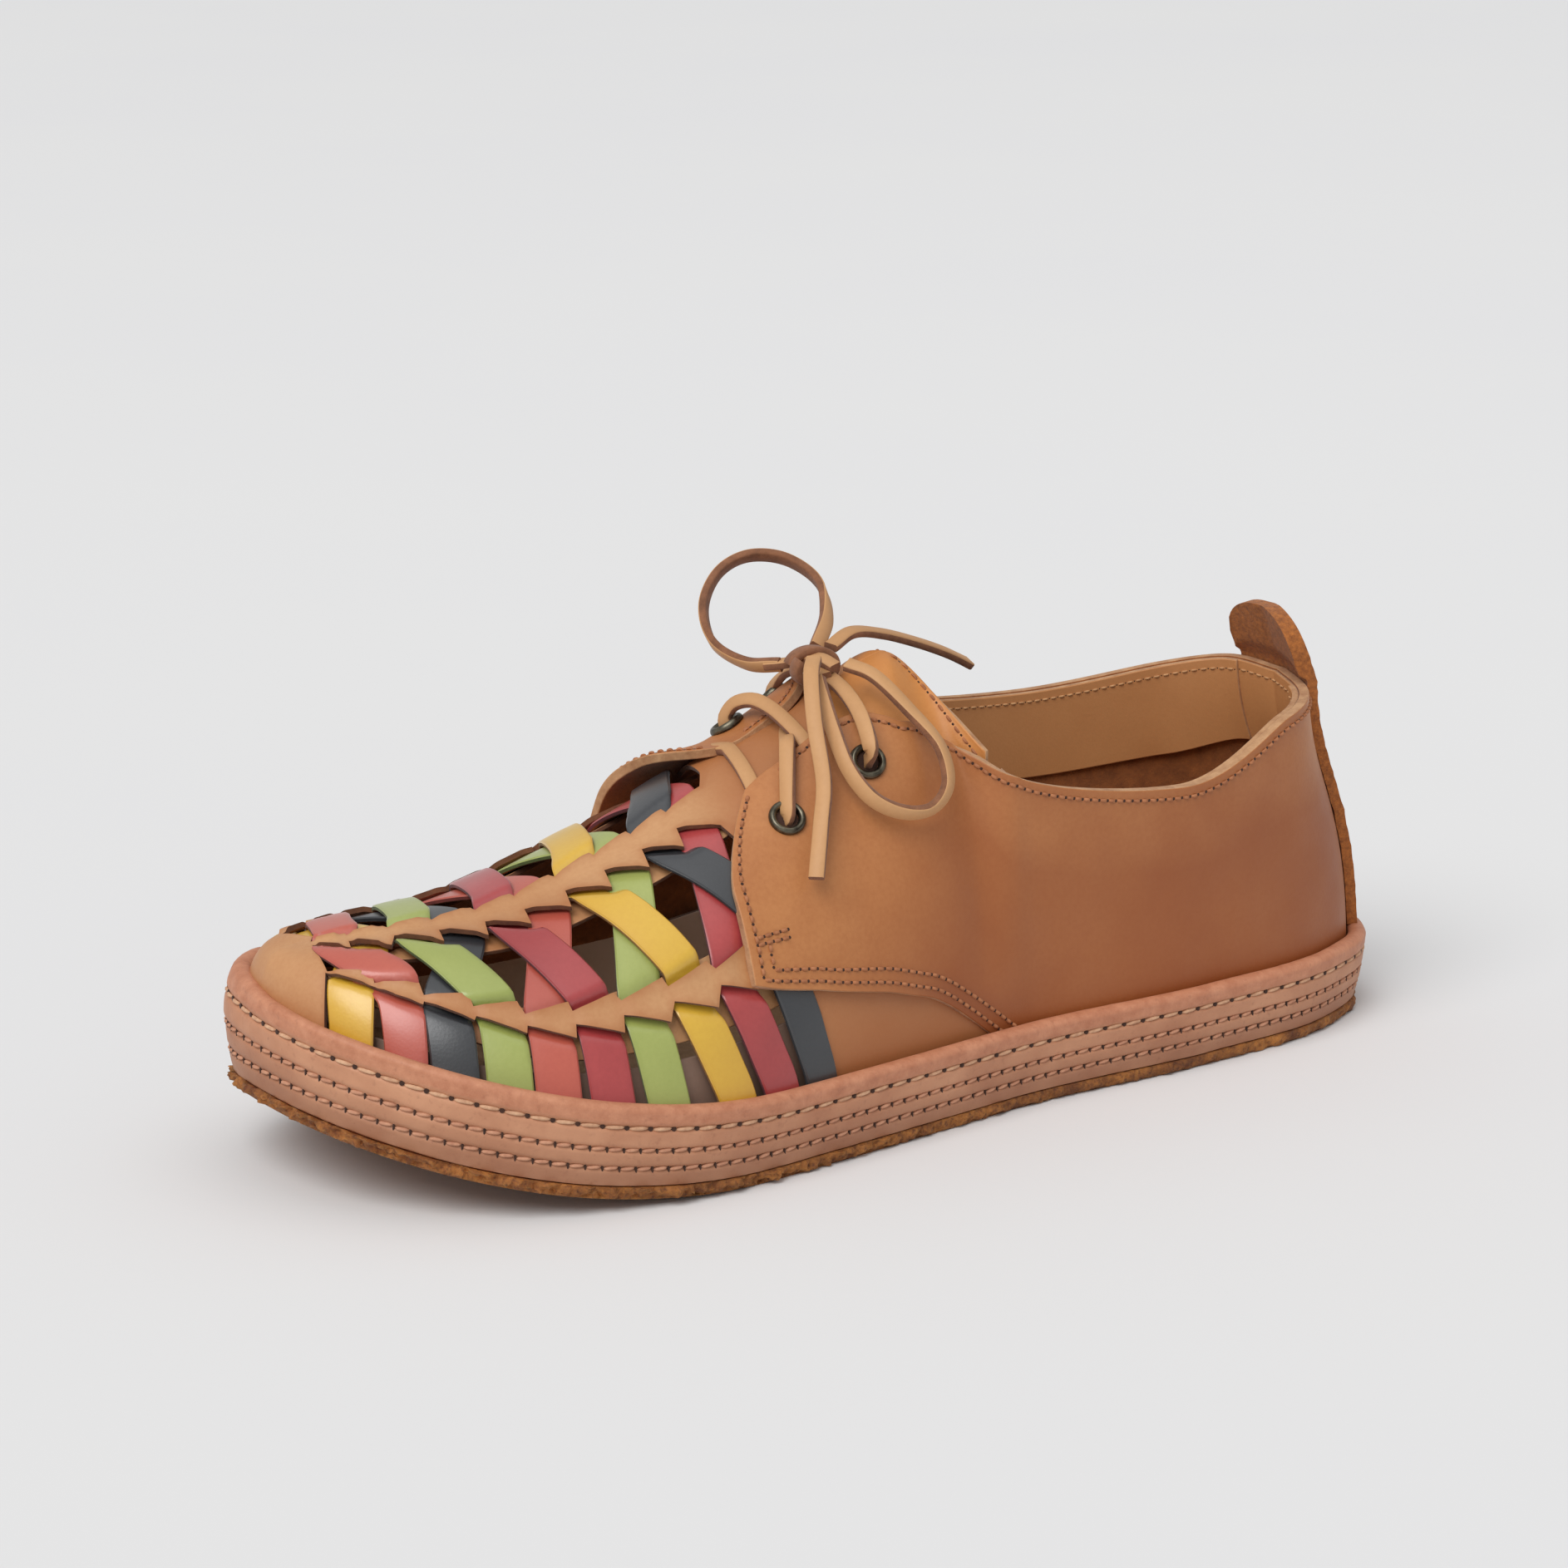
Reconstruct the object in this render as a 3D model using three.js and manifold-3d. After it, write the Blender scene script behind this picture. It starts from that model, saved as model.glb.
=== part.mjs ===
// A low laced leather shoe with a woven forefoot, left foot, standing on its sole.
// Millimetres. +X to the toe, +Y to the wearer's left (the outer side), +Z up.
// The origin is under the middle of the shoe's box, on the floor.
import * as THREE from "three";
import { mergeVertices } from "three/addons/utils/BufferGeometryUtils.js";
import Module from "manifold-3d";

const wasm = await Module();
wasm.setup();

// Driving dimensions
const GAP = 0.3; // clearance between pieces that meet
const OUTLINE_SHIFT = -2.4; // centres the outline's width on the origin
const TOE_X = 145.5; // foremost point of the outline
const SPRING_START = 38; // the sole is flat behind this
const TOE_SPRING = 19.2; // rise of the sole's underside at the toe
const TOE_LIFT = 23.5; // rise of the sidewall's top edge at the toe
const SPRING_POWER = 2.4;
const LIFT_POWER = 2;
const CREPE_HEIGHT = 2.9; // visible edge of the outsole
const CREPE_INSET = 2.4; // outsole edge behind the outline
const SIDEWALL_TOP = 20.3;
const SIDEWALL_INSET = 4; // inner face of the sidewall behind the outline
const UPPER_OUTER = 3; // outer face of vamp and rear quarter over the foot surface
const UPPER_FOOT = 8; // height of the upper's lower edge inside the sidewall
const UPPER_CLEARANCE = 0.6; // between the upper and the sidewall round it
const FOOT_INSET = SIDEWALL_INSET + UPPER_CLEARANCE + UPPER_OUTER; // foot surface's edge in plan
const INSOLE_THICKNESS = 2.5;
const INSOLE_GAP = 0.4;
// Layers of the vamp over the foot surface. The hidden ones stay under the vamp's face.
const LAYERS = {
  vamp: { inner: 0.9, outer: UPPER_OUTER },
  side: { inner: 0.9, outer: 2.8 },
  back: { inner: 0.9, outer: 2.5 },
  hem: { inner: 0, outer: 2.6 },
};
const STRAP = { width: 9.4, thickness: 1.5, under: 1.15, side: 0.9, low: 0.8, high: 2 };
const QUARTER = { inner: 0.6, thickness: 2.3 };
// Where the quarter climbs onto the vamp: by station from the heel and by part of the height
const LAP = { height: 1.8, heel: 3.85, toe: 4.4, low: 0.1, high: 0.2 };
const FLAP = { corner: 0.28, cornerLow: 0.55, cornerStart: 0.6 }; // rounded front corner
// The medial flap is pulled further over the middle, lies flat there, and its front corner stands off
const INNER_FLAP = {
  shift: 0.18, heel: 5, toe: 5.8, lift: 5, liftStart: 6,
  liftLow: 0.45, liftHigh: 0.75, flatLow: 0.8, flatHigh: 0.95,
};
const TONGUE = { inner: -1.6, outer: 0.2, heel: 4.22, toe: 5.95, edge: 0.55 };
// The heel strip and its pull tab, which is folded double and so thicker
const STAY = {
  thickness: 2.4, gap: 0.5, start: 0.1, low: 0.78, high: 0.9,
  tab: 16, tabShare: 0.3, lean: 0.4, rounding: 10, fold: 1.6, foldStart: 0.1, foldEnd: 0.35,
};
const EYELET = { outer: 4.2, hole: 2.5, barrel: 3, rim: 0.9, bevel: 0.4, seat: 0.5, drill: 12 };
const LACE = { radius: 1.7, sides: 8, spacing: 8.5 };

// Sections of the shoe from heel to toe. x, lateral and medial are the outline in plan. The top columns
// give where each section ends above: at the collar behind the tongue's tip, on the ridge in front of it.
// side, crown and drop set how full each section is at its foot, across its top and down from its top.
const SECTION_COLUMNS = [
  "x", "lateral", "medial", "topX", "topLat", "topMed", "latZ", "medZ", "side", "crown", "drop",
];
const SECTION_ROWS = [
  [-145.5, 0, 0, -121.5, 0, 0, 82.5, 82.5, 0.65, 0.05, 0.35],
  [-139, 16, -16, -117.5, 13, -13, 81.5, 84, 0.6, 0.1, 0.35],
  [-121, 28, -28.5, -104, 25, -25, 79.5, 81.5, 0.45, 0.1, 0.35],
  [-80, 36.5, -35, -72, 30, -30, 68.3, 78.5, 0.45, 0.1, 0.35],
  [-28, 40, -36.5, -26, 29, -29, 76, 82, 0.45, 0.15, 0.3],
  [2, 45.5, -40.5, -11, -1, -1, 99.5, 99.5, 0.5, 0.45, 0],
  [32, 51, -46, 24, 0, 0, 82, 82, 0.52, 0.52, 0],
  [70, 56, -51.5, 62, 1, 1, 65, 65, 0.55, 0.55, 0],
  [105, 49, -48.5, 95, -1, -1, 54, 54, 0.6, 0.58, 0],
  [130, 32.5, -38, 117, -4, -4, 51.5, 51.5, 0.8, 0.58, 0],
  [142, 15, -24, 128, -6, -6, 50.5, 50.5, 1, 0.6, 0],
  [145.5, -6, -6, 133, -6.5, -6.5, 49.5, 49.5, 1.1, 0.6, 0],
];
const SECTIONS = SECTION_ROWS.map((row) =>
  Object.fromEntries(SECTION_COLUMNS.map((key, i) => [key, row[i]])),
);
const LAST = SECTIONS.length - 1; // station of the toe tip, counted in sections from the heel
const TIP = 5; // station of the tongue's tip, where the two sides meet on the ridge

// The weave. hem, band and ridge are the stations of each strap at the sidewall, under the side bands
// and under the middle band. Straps cross in pairs between the bands.
const WEAVE = [
  { color: "yellow", hem: 9.58, band: 9.55, ridge: 9.2 },
  { color: "coral", hem: 8.97, band: 8.98, ridge: 9.75 },
  { color: "black", hem: 8.57, band: 8.58, ridge: 8.2 },
  { color: "green", hem: 8.17, band: 8.17, ridge: 8.62 },
  { color: "coral", hem: 7.84, band: 7.83, ridge: 7.55 },
  { color: "crimson", hem: 7.49, band: 7.51, ridge: 7.85 },
  { color: "green", hem: 7.12, band: 7.2, ridge: 7.0 },
  { color: "yellow", hem: 6.64, band: 6.87, ridge: 7.27 },
  { color: "crimson", hem: 6.32, band: 6.55, ridge: 6.52 },
  { color: "black", hem: 6.02, band: 6.22, ridge: 6.76 },
];
// Across the shoe w runs from 1 at the lateral lower edge over 0 on the ridge to -1 at the medial one.
const BANDS = {
  lateral: { low: 0.665, high: 0.575 },
  middle: { low: 0.215, high: 0.06 },
  medial: { low: -0.4, high: -0.31 },
};
// The lateral band climbs towards the toe: its lower edge by rise of w, its upper edge by a share of that
const CLIMB = { rise: 0.15, start: 7.7, length: 1.9, power: 1.2, upper: 0.8 };
const HEM_W = 0.93; // straps end here
const HEM_TOP = 0.9;
const CAP_STATION = 9.9;
const CAP_LAP = 0.05;
const VAMP_BACK = { heel: 5.65, toe: 6.25 };
const BAND_HEEL = 5.85;
const SIDE_PANEL = { heel: 4.2, toe: 5.84, low: 0.92, high: 0.58 };

// The quarter: lower and upper edge, as parts of the section's height, from the heel to the flap's front.
const QUARTER_EDGE = [
  { station: 0, lower: 0, upper: 1 },
  { station: 3.4, lower: 0, upper: 0.985 },
  { station: 3.9, lower: 0, upper: 0.99 },
  { station: 4.1, lower: 0.05, upper: 0.993 },
  { station: 4.3, lower: 0.09, upper: 0.95 },
  { station: 4.5, lower: 0.12, upper: 0.805 },
  { station: 4.75, lower: 0.145, upper: 0.682 },
  { station: 4.9, lower: 0.157, upper: 0.662 },
  { station: 5.2, lower: 0.18, upper: 0.718 },
  { station: 5.65, lower: 0.225, upper: 0.805 },
  { station: 6, lower: 0.265, upper: 0.805 },
  { station: 6.3, lower: 0.305, upper: 0.775 },
  { station: 6.47, lower: 0.335, upper: 0.72 },
];
const EYELETS = [
  { name: "lateral_lower", sign: 1, station: 6.02, part: 0.65 },
  { name: "lateral_upper", sign: 1, station: 5.38, part: 0.64 },
  { name: "medial_lower", sign: -1, station: 5.86, part: 0.83 },
  { name: "medial_upper", sign: -1, station: 5.38, part: 0.72 },
];

const clamp = (t) => Math.min(1, Math.max(0, t));
const smooth = (a, b, x) => {
  const t = clamp((x - a) / (b - a));
  return t * t * (3 - 2 * t);
};
const lerp = (a, b, t) => a + (b - a) * t;

// Cubic through (t, value) rows that never overshoots them
function monotone(knots, values, at) {
  const n = knots.length - 1;
  const x = Math.min(knots[n], Math.max(knots[0], at));
  let i = 0;
  while (i < n - 1 && x > knots[i + 1]) i++;
  const chord = (k) => (values[k + 1] - values[k]) / (knots[k + 1] - knots[k]);
  const slope = (k) => {
    if (k === 0) return chord(0);
    if (k === n) return chord(n - 1);
    const a = chord(k - 1);
    const b = chord(k);
    return a * b > 0 ? (2 * a * b) / (a + b) : 0;
  };
  const h = knots[i + 1] - knots[i];
  const t = (x - knots[i]) / h;
  const s = 1 - t;
  return (
    values[i] * (1 + 2 * t) * s * s +
    slope(i) * h * t * s * s +
    values[i + 1] * t * t * (3 - 2 * t) -
    slope(i + 1) * h * t * t * s
  );
}
const STATIONS = SECTIONS.map((_, i) => i);
const COLUMNS = Object.fromEntries(
  SECTION_COLUMNS.map((key) => [key, SECTIONS.map((row) => row[key])]),
);
const section = (key, station) => monotone(STATIONS, COLUMNS[key], station);

const along = (x) => Math.max(0, (x - SPRING_START) / (TOE_X - SPRING_START));
const soleRise = (x) => TOE_SPRING * along(x) ** SPRING_POWER;
const edgeRise = (x) => TOE_LIFT * along(x) ** LIFT_POWER;

// Plan outline as a closed loop: stations 0 to LAST on the lateral side, then back on the medial side
const LOOP = [
  ...SECTIONS.map((s) => new THREE.Vector2(s.x, s.lateral)),
  ...SECTIONS.slice(1, -1).reverse().map((s) => new THREE.Vector2(s.x, s.medial)),
];
const TURN = LOOP.length;
function outlinePoint(u) {
  const i = Math.floor(u);
  const t = u - i;
  const s = 1 - t;
  const [a, b, c, d] = [-1, 0, 1, 2].map((k) => LOOP[(((i + k) % TURN) + TURN) % TURN]);
  const [ab, bc, cd] = [a.distanceTo(b), b.distanceTo(c), c.distanceTo(d)];
  const tangent = (p, q, r, first, second) =>
    q.clone().sub(p).multiplyScalar(second / first)
      .add(r.clone().sub(q).multiplyScalar(first / second))
      .multiplyScalar(bc / (first + second));
  const tb = tangent(a, b, c, ab, bc);
  const tc = tangent(b, c, d, bc, cd);
  return b.clone().multiplyScalar((1 + 2 * t) * s * s)
    .addScaledVector(tb, t * s * s)
    .addScaledVector(c, t * t * (3 - 2 * t))
    .addScaledVector(tc, -t * t * s);
}
function outline(u, inset) {
  const e = 1e-3;
  const t = outlinePoint(u + e).sub(outlinePoint(u - e)).normalize();
  const p = outlinePoint(u);
  return new THREE.Vector2(p.x + t.y * inset, p.y - t.x * inset + OUTLINE_SHIFT);
}

// Foot surface: part v of the height of the section at loop position u
function footPoint(u, v) {
  const turn = ((u % TURN) + TURN) % TURN;
  const lateral = turn <= LAST;
  const station = lateral ? turn : TURN - turn;
  const plan = outline(turn, FOOT_INSET);
  const foot = new THREE.Vector3(plan.x, plan.y, UPPER_FOOT + edgeRise(plan.x));
  const top = new THREE.Vector3(
    section("topX", station),
    section(lateral ? "topLat" : "topMed", station) + OUTLINE_SHIFT,
    section(lateral ? "latZ" : "medZ", station),
  );
  const rise = top.z - foot.z;
  const crown = section("crown", station);
  const out = foot.clone().sub(top).multiplyScalar(crown);
  const low = foot.clone();
  low.z += section("side", station) * rise;
  const high = new THREE.Vector3(
    top.x + out.x,
    top.y + out.y,
    top.z + ridgeSlope(station) * out.x - section("drop", station) * rise,
  );
  const s = 1 - v;
  return foot.multiplyScalar(s * s * s)
    .addScaledVector(low, 3 * v * s * s)
    .addScaledVector(high, 3 * v * v * s)
    .addScaledVector(top, v * v * v);
}
function ridgeSlope(station) {
  if (station <= TIP) return 0;
  const e = 1e-3;
  const dz = section("latZ", station + e) - section("latZ", station - e);
  const dx = section("topX", station + e) - section("topX", station - e);
  return dz / dx;
}
function footNormal(u, v) {
  const turn = ((u % TURN) + TURN) % TURN;
  const station = Math.min(turn, TURN - turn);
  if (v > 0.995 && station > TIP)
    return new THREE.Vector3(-ridgeSlope(station), 0, 1).normalize();
  const e = 2e-3;
  const around = footPoint(u + e, v).sub(footPoint(u - e, v));
  const up = footPoint(u, Math.min(1, v + e)).sub(footPoint(u, Math.max(0, v - e)));
  return up.cross(around).normalize();
}
const skin = (u, v, offset) => footPoint(u, v).addScaledVector(footNormal(u, v), offset);
// Station and w across the shoe
const loopAt = (station, w) => (w >= 0 ? station : TURN - station);
const across = (station, w, offset) => skin(loopAt(station, w), 1 - Math.abs(w), offset);

// Closed solids from grids of points
function solidFrom(points, faces) {
  const g = new THREE.BufferGeometry();
  g.setAttribute("position", new THREE.Float32BufferAttribute(points.flatMap((p) => [p.x, p.y, p.z]), 3));
  g.setIndex(faces);
  const merged = mergeVertices(g, 1e-3);
  const tri = [];
  const index = merged.index.array;
  for (let i = 0; i < index.length; i += 3) {
    const [a, b, c] = [index[i], index[i + 1], index[i + 2]];
    if (a !== b && b !== c && a !== c) tri.push(a, b, c);
  }
  const make = (list) =>
    new wasm.Manifold(
      new wasm.Mesh({
        numProp: 3,
        vertProperties: merged.attributes.position.array,
        triVerts: new Uint32Array(list),
      }),
    );
  const solid = make(tri);
  if (solid.volume() > 0) return solid;
  for (let i = 0; i < tri.length; i += 3) [tri[i + 1], tri[i + 2]] = [tri[i + 2], tri[i + 1]];
  return make(tri);
}
const quad = (a, b, c, d) => [a, b, c, a, c, d];

// A sheet: place(p, q, side) gives a point of its inner (0) or outer (1) face
function sheet(stepsP, stepsQ, place) {
  const points = [];
  const id = (i, j, side) => (side * (stepsP + 1) + i) * (stepsQ + 1) + j;
  for (const side of [0, 1])
    for (let i = 0; i <= stepsP; i++)
      for (let j = 0; j <= stepsQ; j++) points.push(place(i / stepsP, j / stepsQ, side));
  const faces = [];
  for (let i = 0; i < stepsP; i++)
    for (let j = 0; j < stepsQ; j++) {
      faces.push(...quad(id(i, j, 1), id(i + 1, j, 1), id(i + 1, j + 1, 1), id(i, j + 1, 1)));
      faces.push(...quad(id(i, j, 0), id(i, j + 1, 0), id(i + 1, j + 1, 0), id(i + 1, j, 0)));
    }
  for (let i = 0; i < stepsP; i++) {
    faces.push(...quad(id(i, 0, 0), id(i + 1, 0, 0), id(i + 1, 0, 1), id(i, 0, 1)));
    faces.push(...quad(id(i, stepsQ, 1), id(i + 1, stepsQ, 1), id(i + 1, stepsQ, 0), id(i, stepsQ, 0)));
  }
  for (let j = 0; j < stepsQ; j++) {
    faces.push(...quad(id(0, j, 0), id(0, j, 1), id(0, j + 1, 1), id(0, j + 1, 0)));
    faces.push(...quad(id(stepsP, j, 1), id(stepsP, j, 0), id(stepsP, j + 1, 0), id(stepsP, j + 1, 1)));
  }
  return solidFrom(points, faces);
}
// A ring swept round the outline from a closed profile of (inset, height) points
function ring(steps, profile) {
  const points = [];
  const n = profile.length;
  for (let i = 0; i < steps; i++)
    for (const point of profile) points.push(solePoint((i / steps) * TURN, point));
  const faces = [];
  for (let i = 0; i < steps; i++)
    for (let j = 0; j < n; j++) {
      const [i2, j2] = [(i + 1) % steps, (j + 1) % n];
      faces.push(...quad(i * n + j, i2 * n + j, i2 * n + j2, i * n + j2));
    }
  return solidFrom(points, faces);
}
// A slab closed across from the lateral to the medial side, from an open profile, bottom first
function slab(steps, profile) {
  const points = [];
  const n = profile.length;
  for (let i = 0; i < 2 * steps; i++)
    for (const point of profile) points.push(solePoint((i / (2 * steps)) * TURN, point));
  const faces = [];
  const at = (i, j) => (((i % (2 * steps)) + 2 * steps) % (2 * steps)) * n + j;
  for (let i = 0; i < 2 * steps; i++)
    for (let j = 0; j < n - 1; j++)
      faces.push(...quad(at(i, j), at(i + 1, j), at(i + 1, j + 1), at(i, j + 1)));
  for (let i = 0; i < steps; i++) {
    faces.push(...quad(at(i, 0), at(-i, 0), at(-i - 1, 0), at(i + 1, 0)));
    faces.push(...quad(at(i, n - 1), at(i + 1, n - 1), at(-i - 1, n - 1), at(-i, n - 1)));
  }
  return solidFrom(points, faces);
}
function solePoint(u, { inset, z }) {
  const p = outline(u, inset);
  const share = clamp((z - CREPE_HEIGHT) / (SIDEWALL_TOP - CREPE_HEIGHT));
  return new THREE.Vector3(p.x, p.y, z + lerp(soleRise(p.x), edgeRise(p.x), share));
}

const SOLE_STEPS = 48; // points round the sole
function outsole() {
  const core = SIDEWALL_INSET + GAP;
  return slab(SOLE_STEPS / 2, [
    { inset: CREPE_INSET + 0.6, z: 0 },
    { inset: CREPE_INSET, z: 0.6 },
    { inset: CREPE_INSET, z: CREPE_HEIGHT },
    { inset: core, z: CREPE_HEIGHT },
    { inset: core, z: UPPER_FOOT - GAP },
  ]);
}

function sidewall() {
  const low = CREPE_HEIGHT + GAP;
  return ring(SOLE_STEPS, [
    { inset: SIDEWALL_INSET, z: low },
    { inset: 2.6, z: low },
    { inset: 1.8, z: 6.5 },
    { inset: 2.3, z: 7.2 },
    { inset: 1.5, z: 7.9 },
    { inset: 0.9, z: 10.8 },
    { inset: 1.4, z: 11.5 },
    { inset: 0.6, z: 12.2 },
    { inset: 0.3, z: 14.8 },
    { inset: 1.2, z: 15.6 },
    { inset: 0, z: 16.5 },
    { inset: 0.3, z: 18.6 },
    { inset: 1.8, z: 20.2 },
    { inset: SIDEWALL_INSET, z: SIDEWALL_TOP },
  ]);
}

function insole() {
  const inset = FOOT_INSET + INSOLE_GAP;
  return slab(20, [
    { inset, z: UPPER_FOOT },
    { inset, z: UPPER_FOOT + INSOLE_THICKNESS },
  ]);
}

// Upper
const lateralClimb = (station) =>
  CLIMB.rise * clamp((station - CLIMB.start) / CLIMB.length) ** CLIMB.power;
function bandW(name, edge, station) {
  const w = BANDS[name][edge];
  return name === "lateral" ? w - lateralClimb(station) * (edge === "low" ? 1 : CLIMB.upper) : w;
}
// A panel of vamp leather between two stations and two w edges
function panel(steps, stations, wLow, wHigh, layer) {
  return sheet(steps[0], steps[1], (p, q, face) => {
    const station = lerp(stations.heel, stations.toe, p);
    const w = lerp(wLow(station), wHigh(station), q);
    return across(station, w, face ? layer.outer : layer.inner);
  });
}
const flat = (value) => () => value;

function vampLeather() {
  const cap = { heel: CAP_STATION, toe: LAST };
  const hem = { heel: SIDE_PANEL.heel, toe: CAP_STATION + CAP_LAP };
  const band = { heel: BAND_HEEL, toe: CAP_STATION + CAP_LAP };
  const pieces = [
    panel([5, 7], cap, flat(1), flat(0), LAYERS.vamp),
    panel([5, 7], cap, flat(0), flat(-1), LAYERS.vamp),
    panel([1, 12], VAMP_BACK, flat(HEM_W), flat(-HEM_W), LAYERS.back),
  ];
  for (const side of [1, -1])
    pieces.push(
      panel([18, 1], hem, flat(side), flat(HEM_TOP * side), LAYERS.hem),
      panel([4, 3], SIDE_PANEL, flat(SIDE_PANEL.low * side), flat(SIDE_PANEL.high * side), LAYERS.side),
    );
  for (const name of Object.keys(BANDS)) {
    const edge = (key) => (station) => bandW(name, key, station);
    pieces.push(panel([13, 1], band, edge("low"), edge("high"), LAYERS.vamp));
  }
  return pieces;
}

// A strap runs from hem to hem under the three bands
function strapPath(row, over) {
  const lift = over ? STRAP.high : STRAP.low;
  const { hem, band, ridge } = row;
  const between = (from, to, t, offset) => ({
    station: lerp(from.station, to.station, t),
    w: lerp(from.w, to.w, t),
    offset,
  });
  const lateralHem = { station: hem, w: HEM_W, offset: STRAP.side };
  const lateralLow = { station: band, w: bandW("lateral", "low", band), offset: STRAP.under };
  const lateralHigh = { station: band, w: bandW("lateral", "high", band), offset: STRAP.under };
  const middleLow = { station: ridge, w: BANDS.middle.low, offset: STRAP.under };
  const middleHigh = { station: ridge, w: BANDS.middle.high, offset: STRAP.under };
  const medialHigh = { station: band, w: BANDS.medial.high, offset: STRAP.under };
  const medialLow = { station: band, w: BANDS.medial.low, offset: STRAP.under };
  const medialHem = { station: hem, w: -HEM_W, offset: STRAP.side };
  return [
    lateralHem,
    lateralLow,
    lateralHigh,
    between(lateralHigh, middleLow, 0.3, lift),
    between(lateralHigh, middleLow, 0.7, lift),
    middleLow,
    middleHigh,
    between(middleHigh, medialHigh, 0.3, lift),
    between(middleHigh, medialHigh, 0.7, lift),
    medialHigh,
    medialLow,
    between(medialLow, medialHem, 0.5, STRAP.side),
    medialHem,
  ];
}
function strap(row, over) {
  const stops = strapPath(row, over);
  return sheet(stops.length - 1, 1, (p, q, face) => {
    const stop = stops[Math.round(p * (stops.length - 1))];
    const e = 0.05;
    const ahead = across(stop.station + e, stop.w, 0);
    const scale = ahead.distanceTo(across(stop.station - e, stop.w, 0)) / (2 * e);
    const station = stop.station + ((q - 0.5) * STRAP.width) / scale;
    return across(Math.min(station, LAST - 0.05), stop.w, stop.offset + face * STRAP.thickness);
  });
}

const quarterEdge = (key, station) =>
  monotone(QUARTER_EDGE.map((r) => r.station), QUARTER_EDGE.map((r) => r[key]), station);
const FLAP_FRONT = QUARTER_EDGE.at(-1).station;
// The quarter lies on the foot at the heel and laps over the vamp in front
function quarterOffset(station, v, medial) {
  const lap = LAP.height * smooth(LAP.heel, LAP.toe, station) * smooth(LAP.low, LAP.high, v);
  if (!medial) return QUARTER.inner + lap;
  const { lift, liftStart, liftLow, liftHigh, flatLow, flatHigh, toe } = INNER_FLAP;
  const raised = smooth(liftStart, FLAP_FRONT, station) * smooth(liftLow, liftHigh, v);
  const flat = 1 - smooth(flatLow, flatHigh, v) * smooth(TIP, toe, station);
  return QUARTER.inner + lap * flat + lift * raised;
}
function quarterTop(station, side) {
  const shift = INNER_FLAP.shift * smooth(INNER_FLAP.heel, INNER_FLAP.toe, station);
  return quarterEdge("upper", station) + (side < 0 ? shift : 0);
}
function quarterPoint(station, v, side, height) {
  const u = side > 0 ? station : TURN - station;
  return skin(u, v, quarterOffset(station, v, side < 0) + height);
}
const QUARTER_GRID = { along: 20, up: 5 };
function quarter(side) {
  return sheet(QUARTER_GRID.along, QUARTER_GRID.up, (p, q, face) => {
    const corner = FLAP.corner * clamp((q - FLAP.cornerLow) / (1 - FLAP.cornerLow)) ** 2;
    const station = p * (FLAP_FRONT - corner * smooth(FLAP.cornerStart, 1, p));
    const v = lerp(quarterEdge("lower", station), quarterTop(station, side), q);
    const lapped = smooth(LAP.heel, LAP.toe, station);
    const thickness = lerp(UPPER_OUTER - QUARTER.inner, QUARTER.thickness, lapped);
    return quarterPoint(station, v, side, face * thickness);
  });
}

// Round tool that cuts an eyelet's hole, and the frame of the flap at that eyelet
function eyeletFrame(spot) {
  const e = 0.02;
  const at = (ds, dv) => quarterPoint(spot.station + ds, spot.part + dv, spot.sign, QUARTER.thickness);
  const centre = at(0, 0);
  const along = at(e, 0).sub(at(-e, 0));
  const up = at(0, e).sub(at(0, -e));
  const axis = up.cross(along).normalize().multiplyScalar(spot.sign);
  return new THREE.Matrix4().compose(
    centre,
    new THREE.Quaternion().setFromUnitVectors(new THREE.Vector3(0, 0, 1), axis),
    new THREE.Vector3(1, 1, 1),
  );
}
function placed(geometry, matrix) {
  const g = geometry.clone().applyMatrix4(matrix);
  g.deleteAttribute("normal");
  g.deleteAttribute("uv");
  const merged = mergeVertices(g, 1e-3);
  const points = [];
  const position = merged.attributes.position;
  for (let i = 0; i < position.count; i++) points.push(new THREE.Vector3().fromBufferAttribute(position, i));
  return solidFrom(points, [...merged.index.array]);
}
const ROUND = 10;
function eyeletHole(matrix) {
  const radius = EYELET.barrel + GAP;
  const tool = new THREE.CylinderGeometry(radius, radius, EYELET.drill, ROUND).rotateX(Math.PI / 2);
  return placed(tool, matrix);
}
function eyelet(matrix) {
  const { outer, hole, barrel, rim, bevel, seat } = EYELET;
  const back = -QUARTER.thickness - GAP;
  const face = seat + rim;
  const profile = [
    [hole, back],
    [barrel, back],
    [barrel, seat],
    [outer, seat],
    [outer - bevel, face],
    [hole + bevel, face],
    [hole, face - bevel],
    [hole, back],
  ].map(([r, z]) => new THREE.Vector2(r, z));
  return placed(new THREE.LatheGeometry(profile, ROUND).rotateX(Math.PI / 2), matrix);
}
const eyeletFrames = EYELETS.map((spot) => ({ name: `eyelet_${spot.name}`, matrix: eyeletFrame(spot) }));

function upper() {
  const pieces = vampLeather();
  WEAVE.forEach((row, i) => pieces.push(strap(row, i % 2 === 1)));
  pieces.push(quarter(1), quarter(-1));
  const joined = pieces.reduce((sum, piece) => sum.add(piece));
  // Slivers sealed between lapped layers are filled
  const whole = joined.decompose().reduce((a, b) => (b.volume() > a.volume() ? b : a));
  return eyeletFrames.reduce((sum, { matrix }) => sum.subtract(eyeletHole(matrix)), whole);
}

function tongue() {
  const half = (side) =>
    sheet(8, 3, (p, q, face) => {
      const station = p < 0.5 ? lerp(TONGUE.heel, TIP, 2 * p) : lerp(TIP, TONGUE.toe, 2 * p - 1);
      const u = side > 0 ? station : TURN - station;
      return skin(u, lerp(TONGUE.edge, 1, q), face ? TONGUE.outer : TONGUE.inner);
    });
  return half(1).add(half(-1));
}

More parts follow.
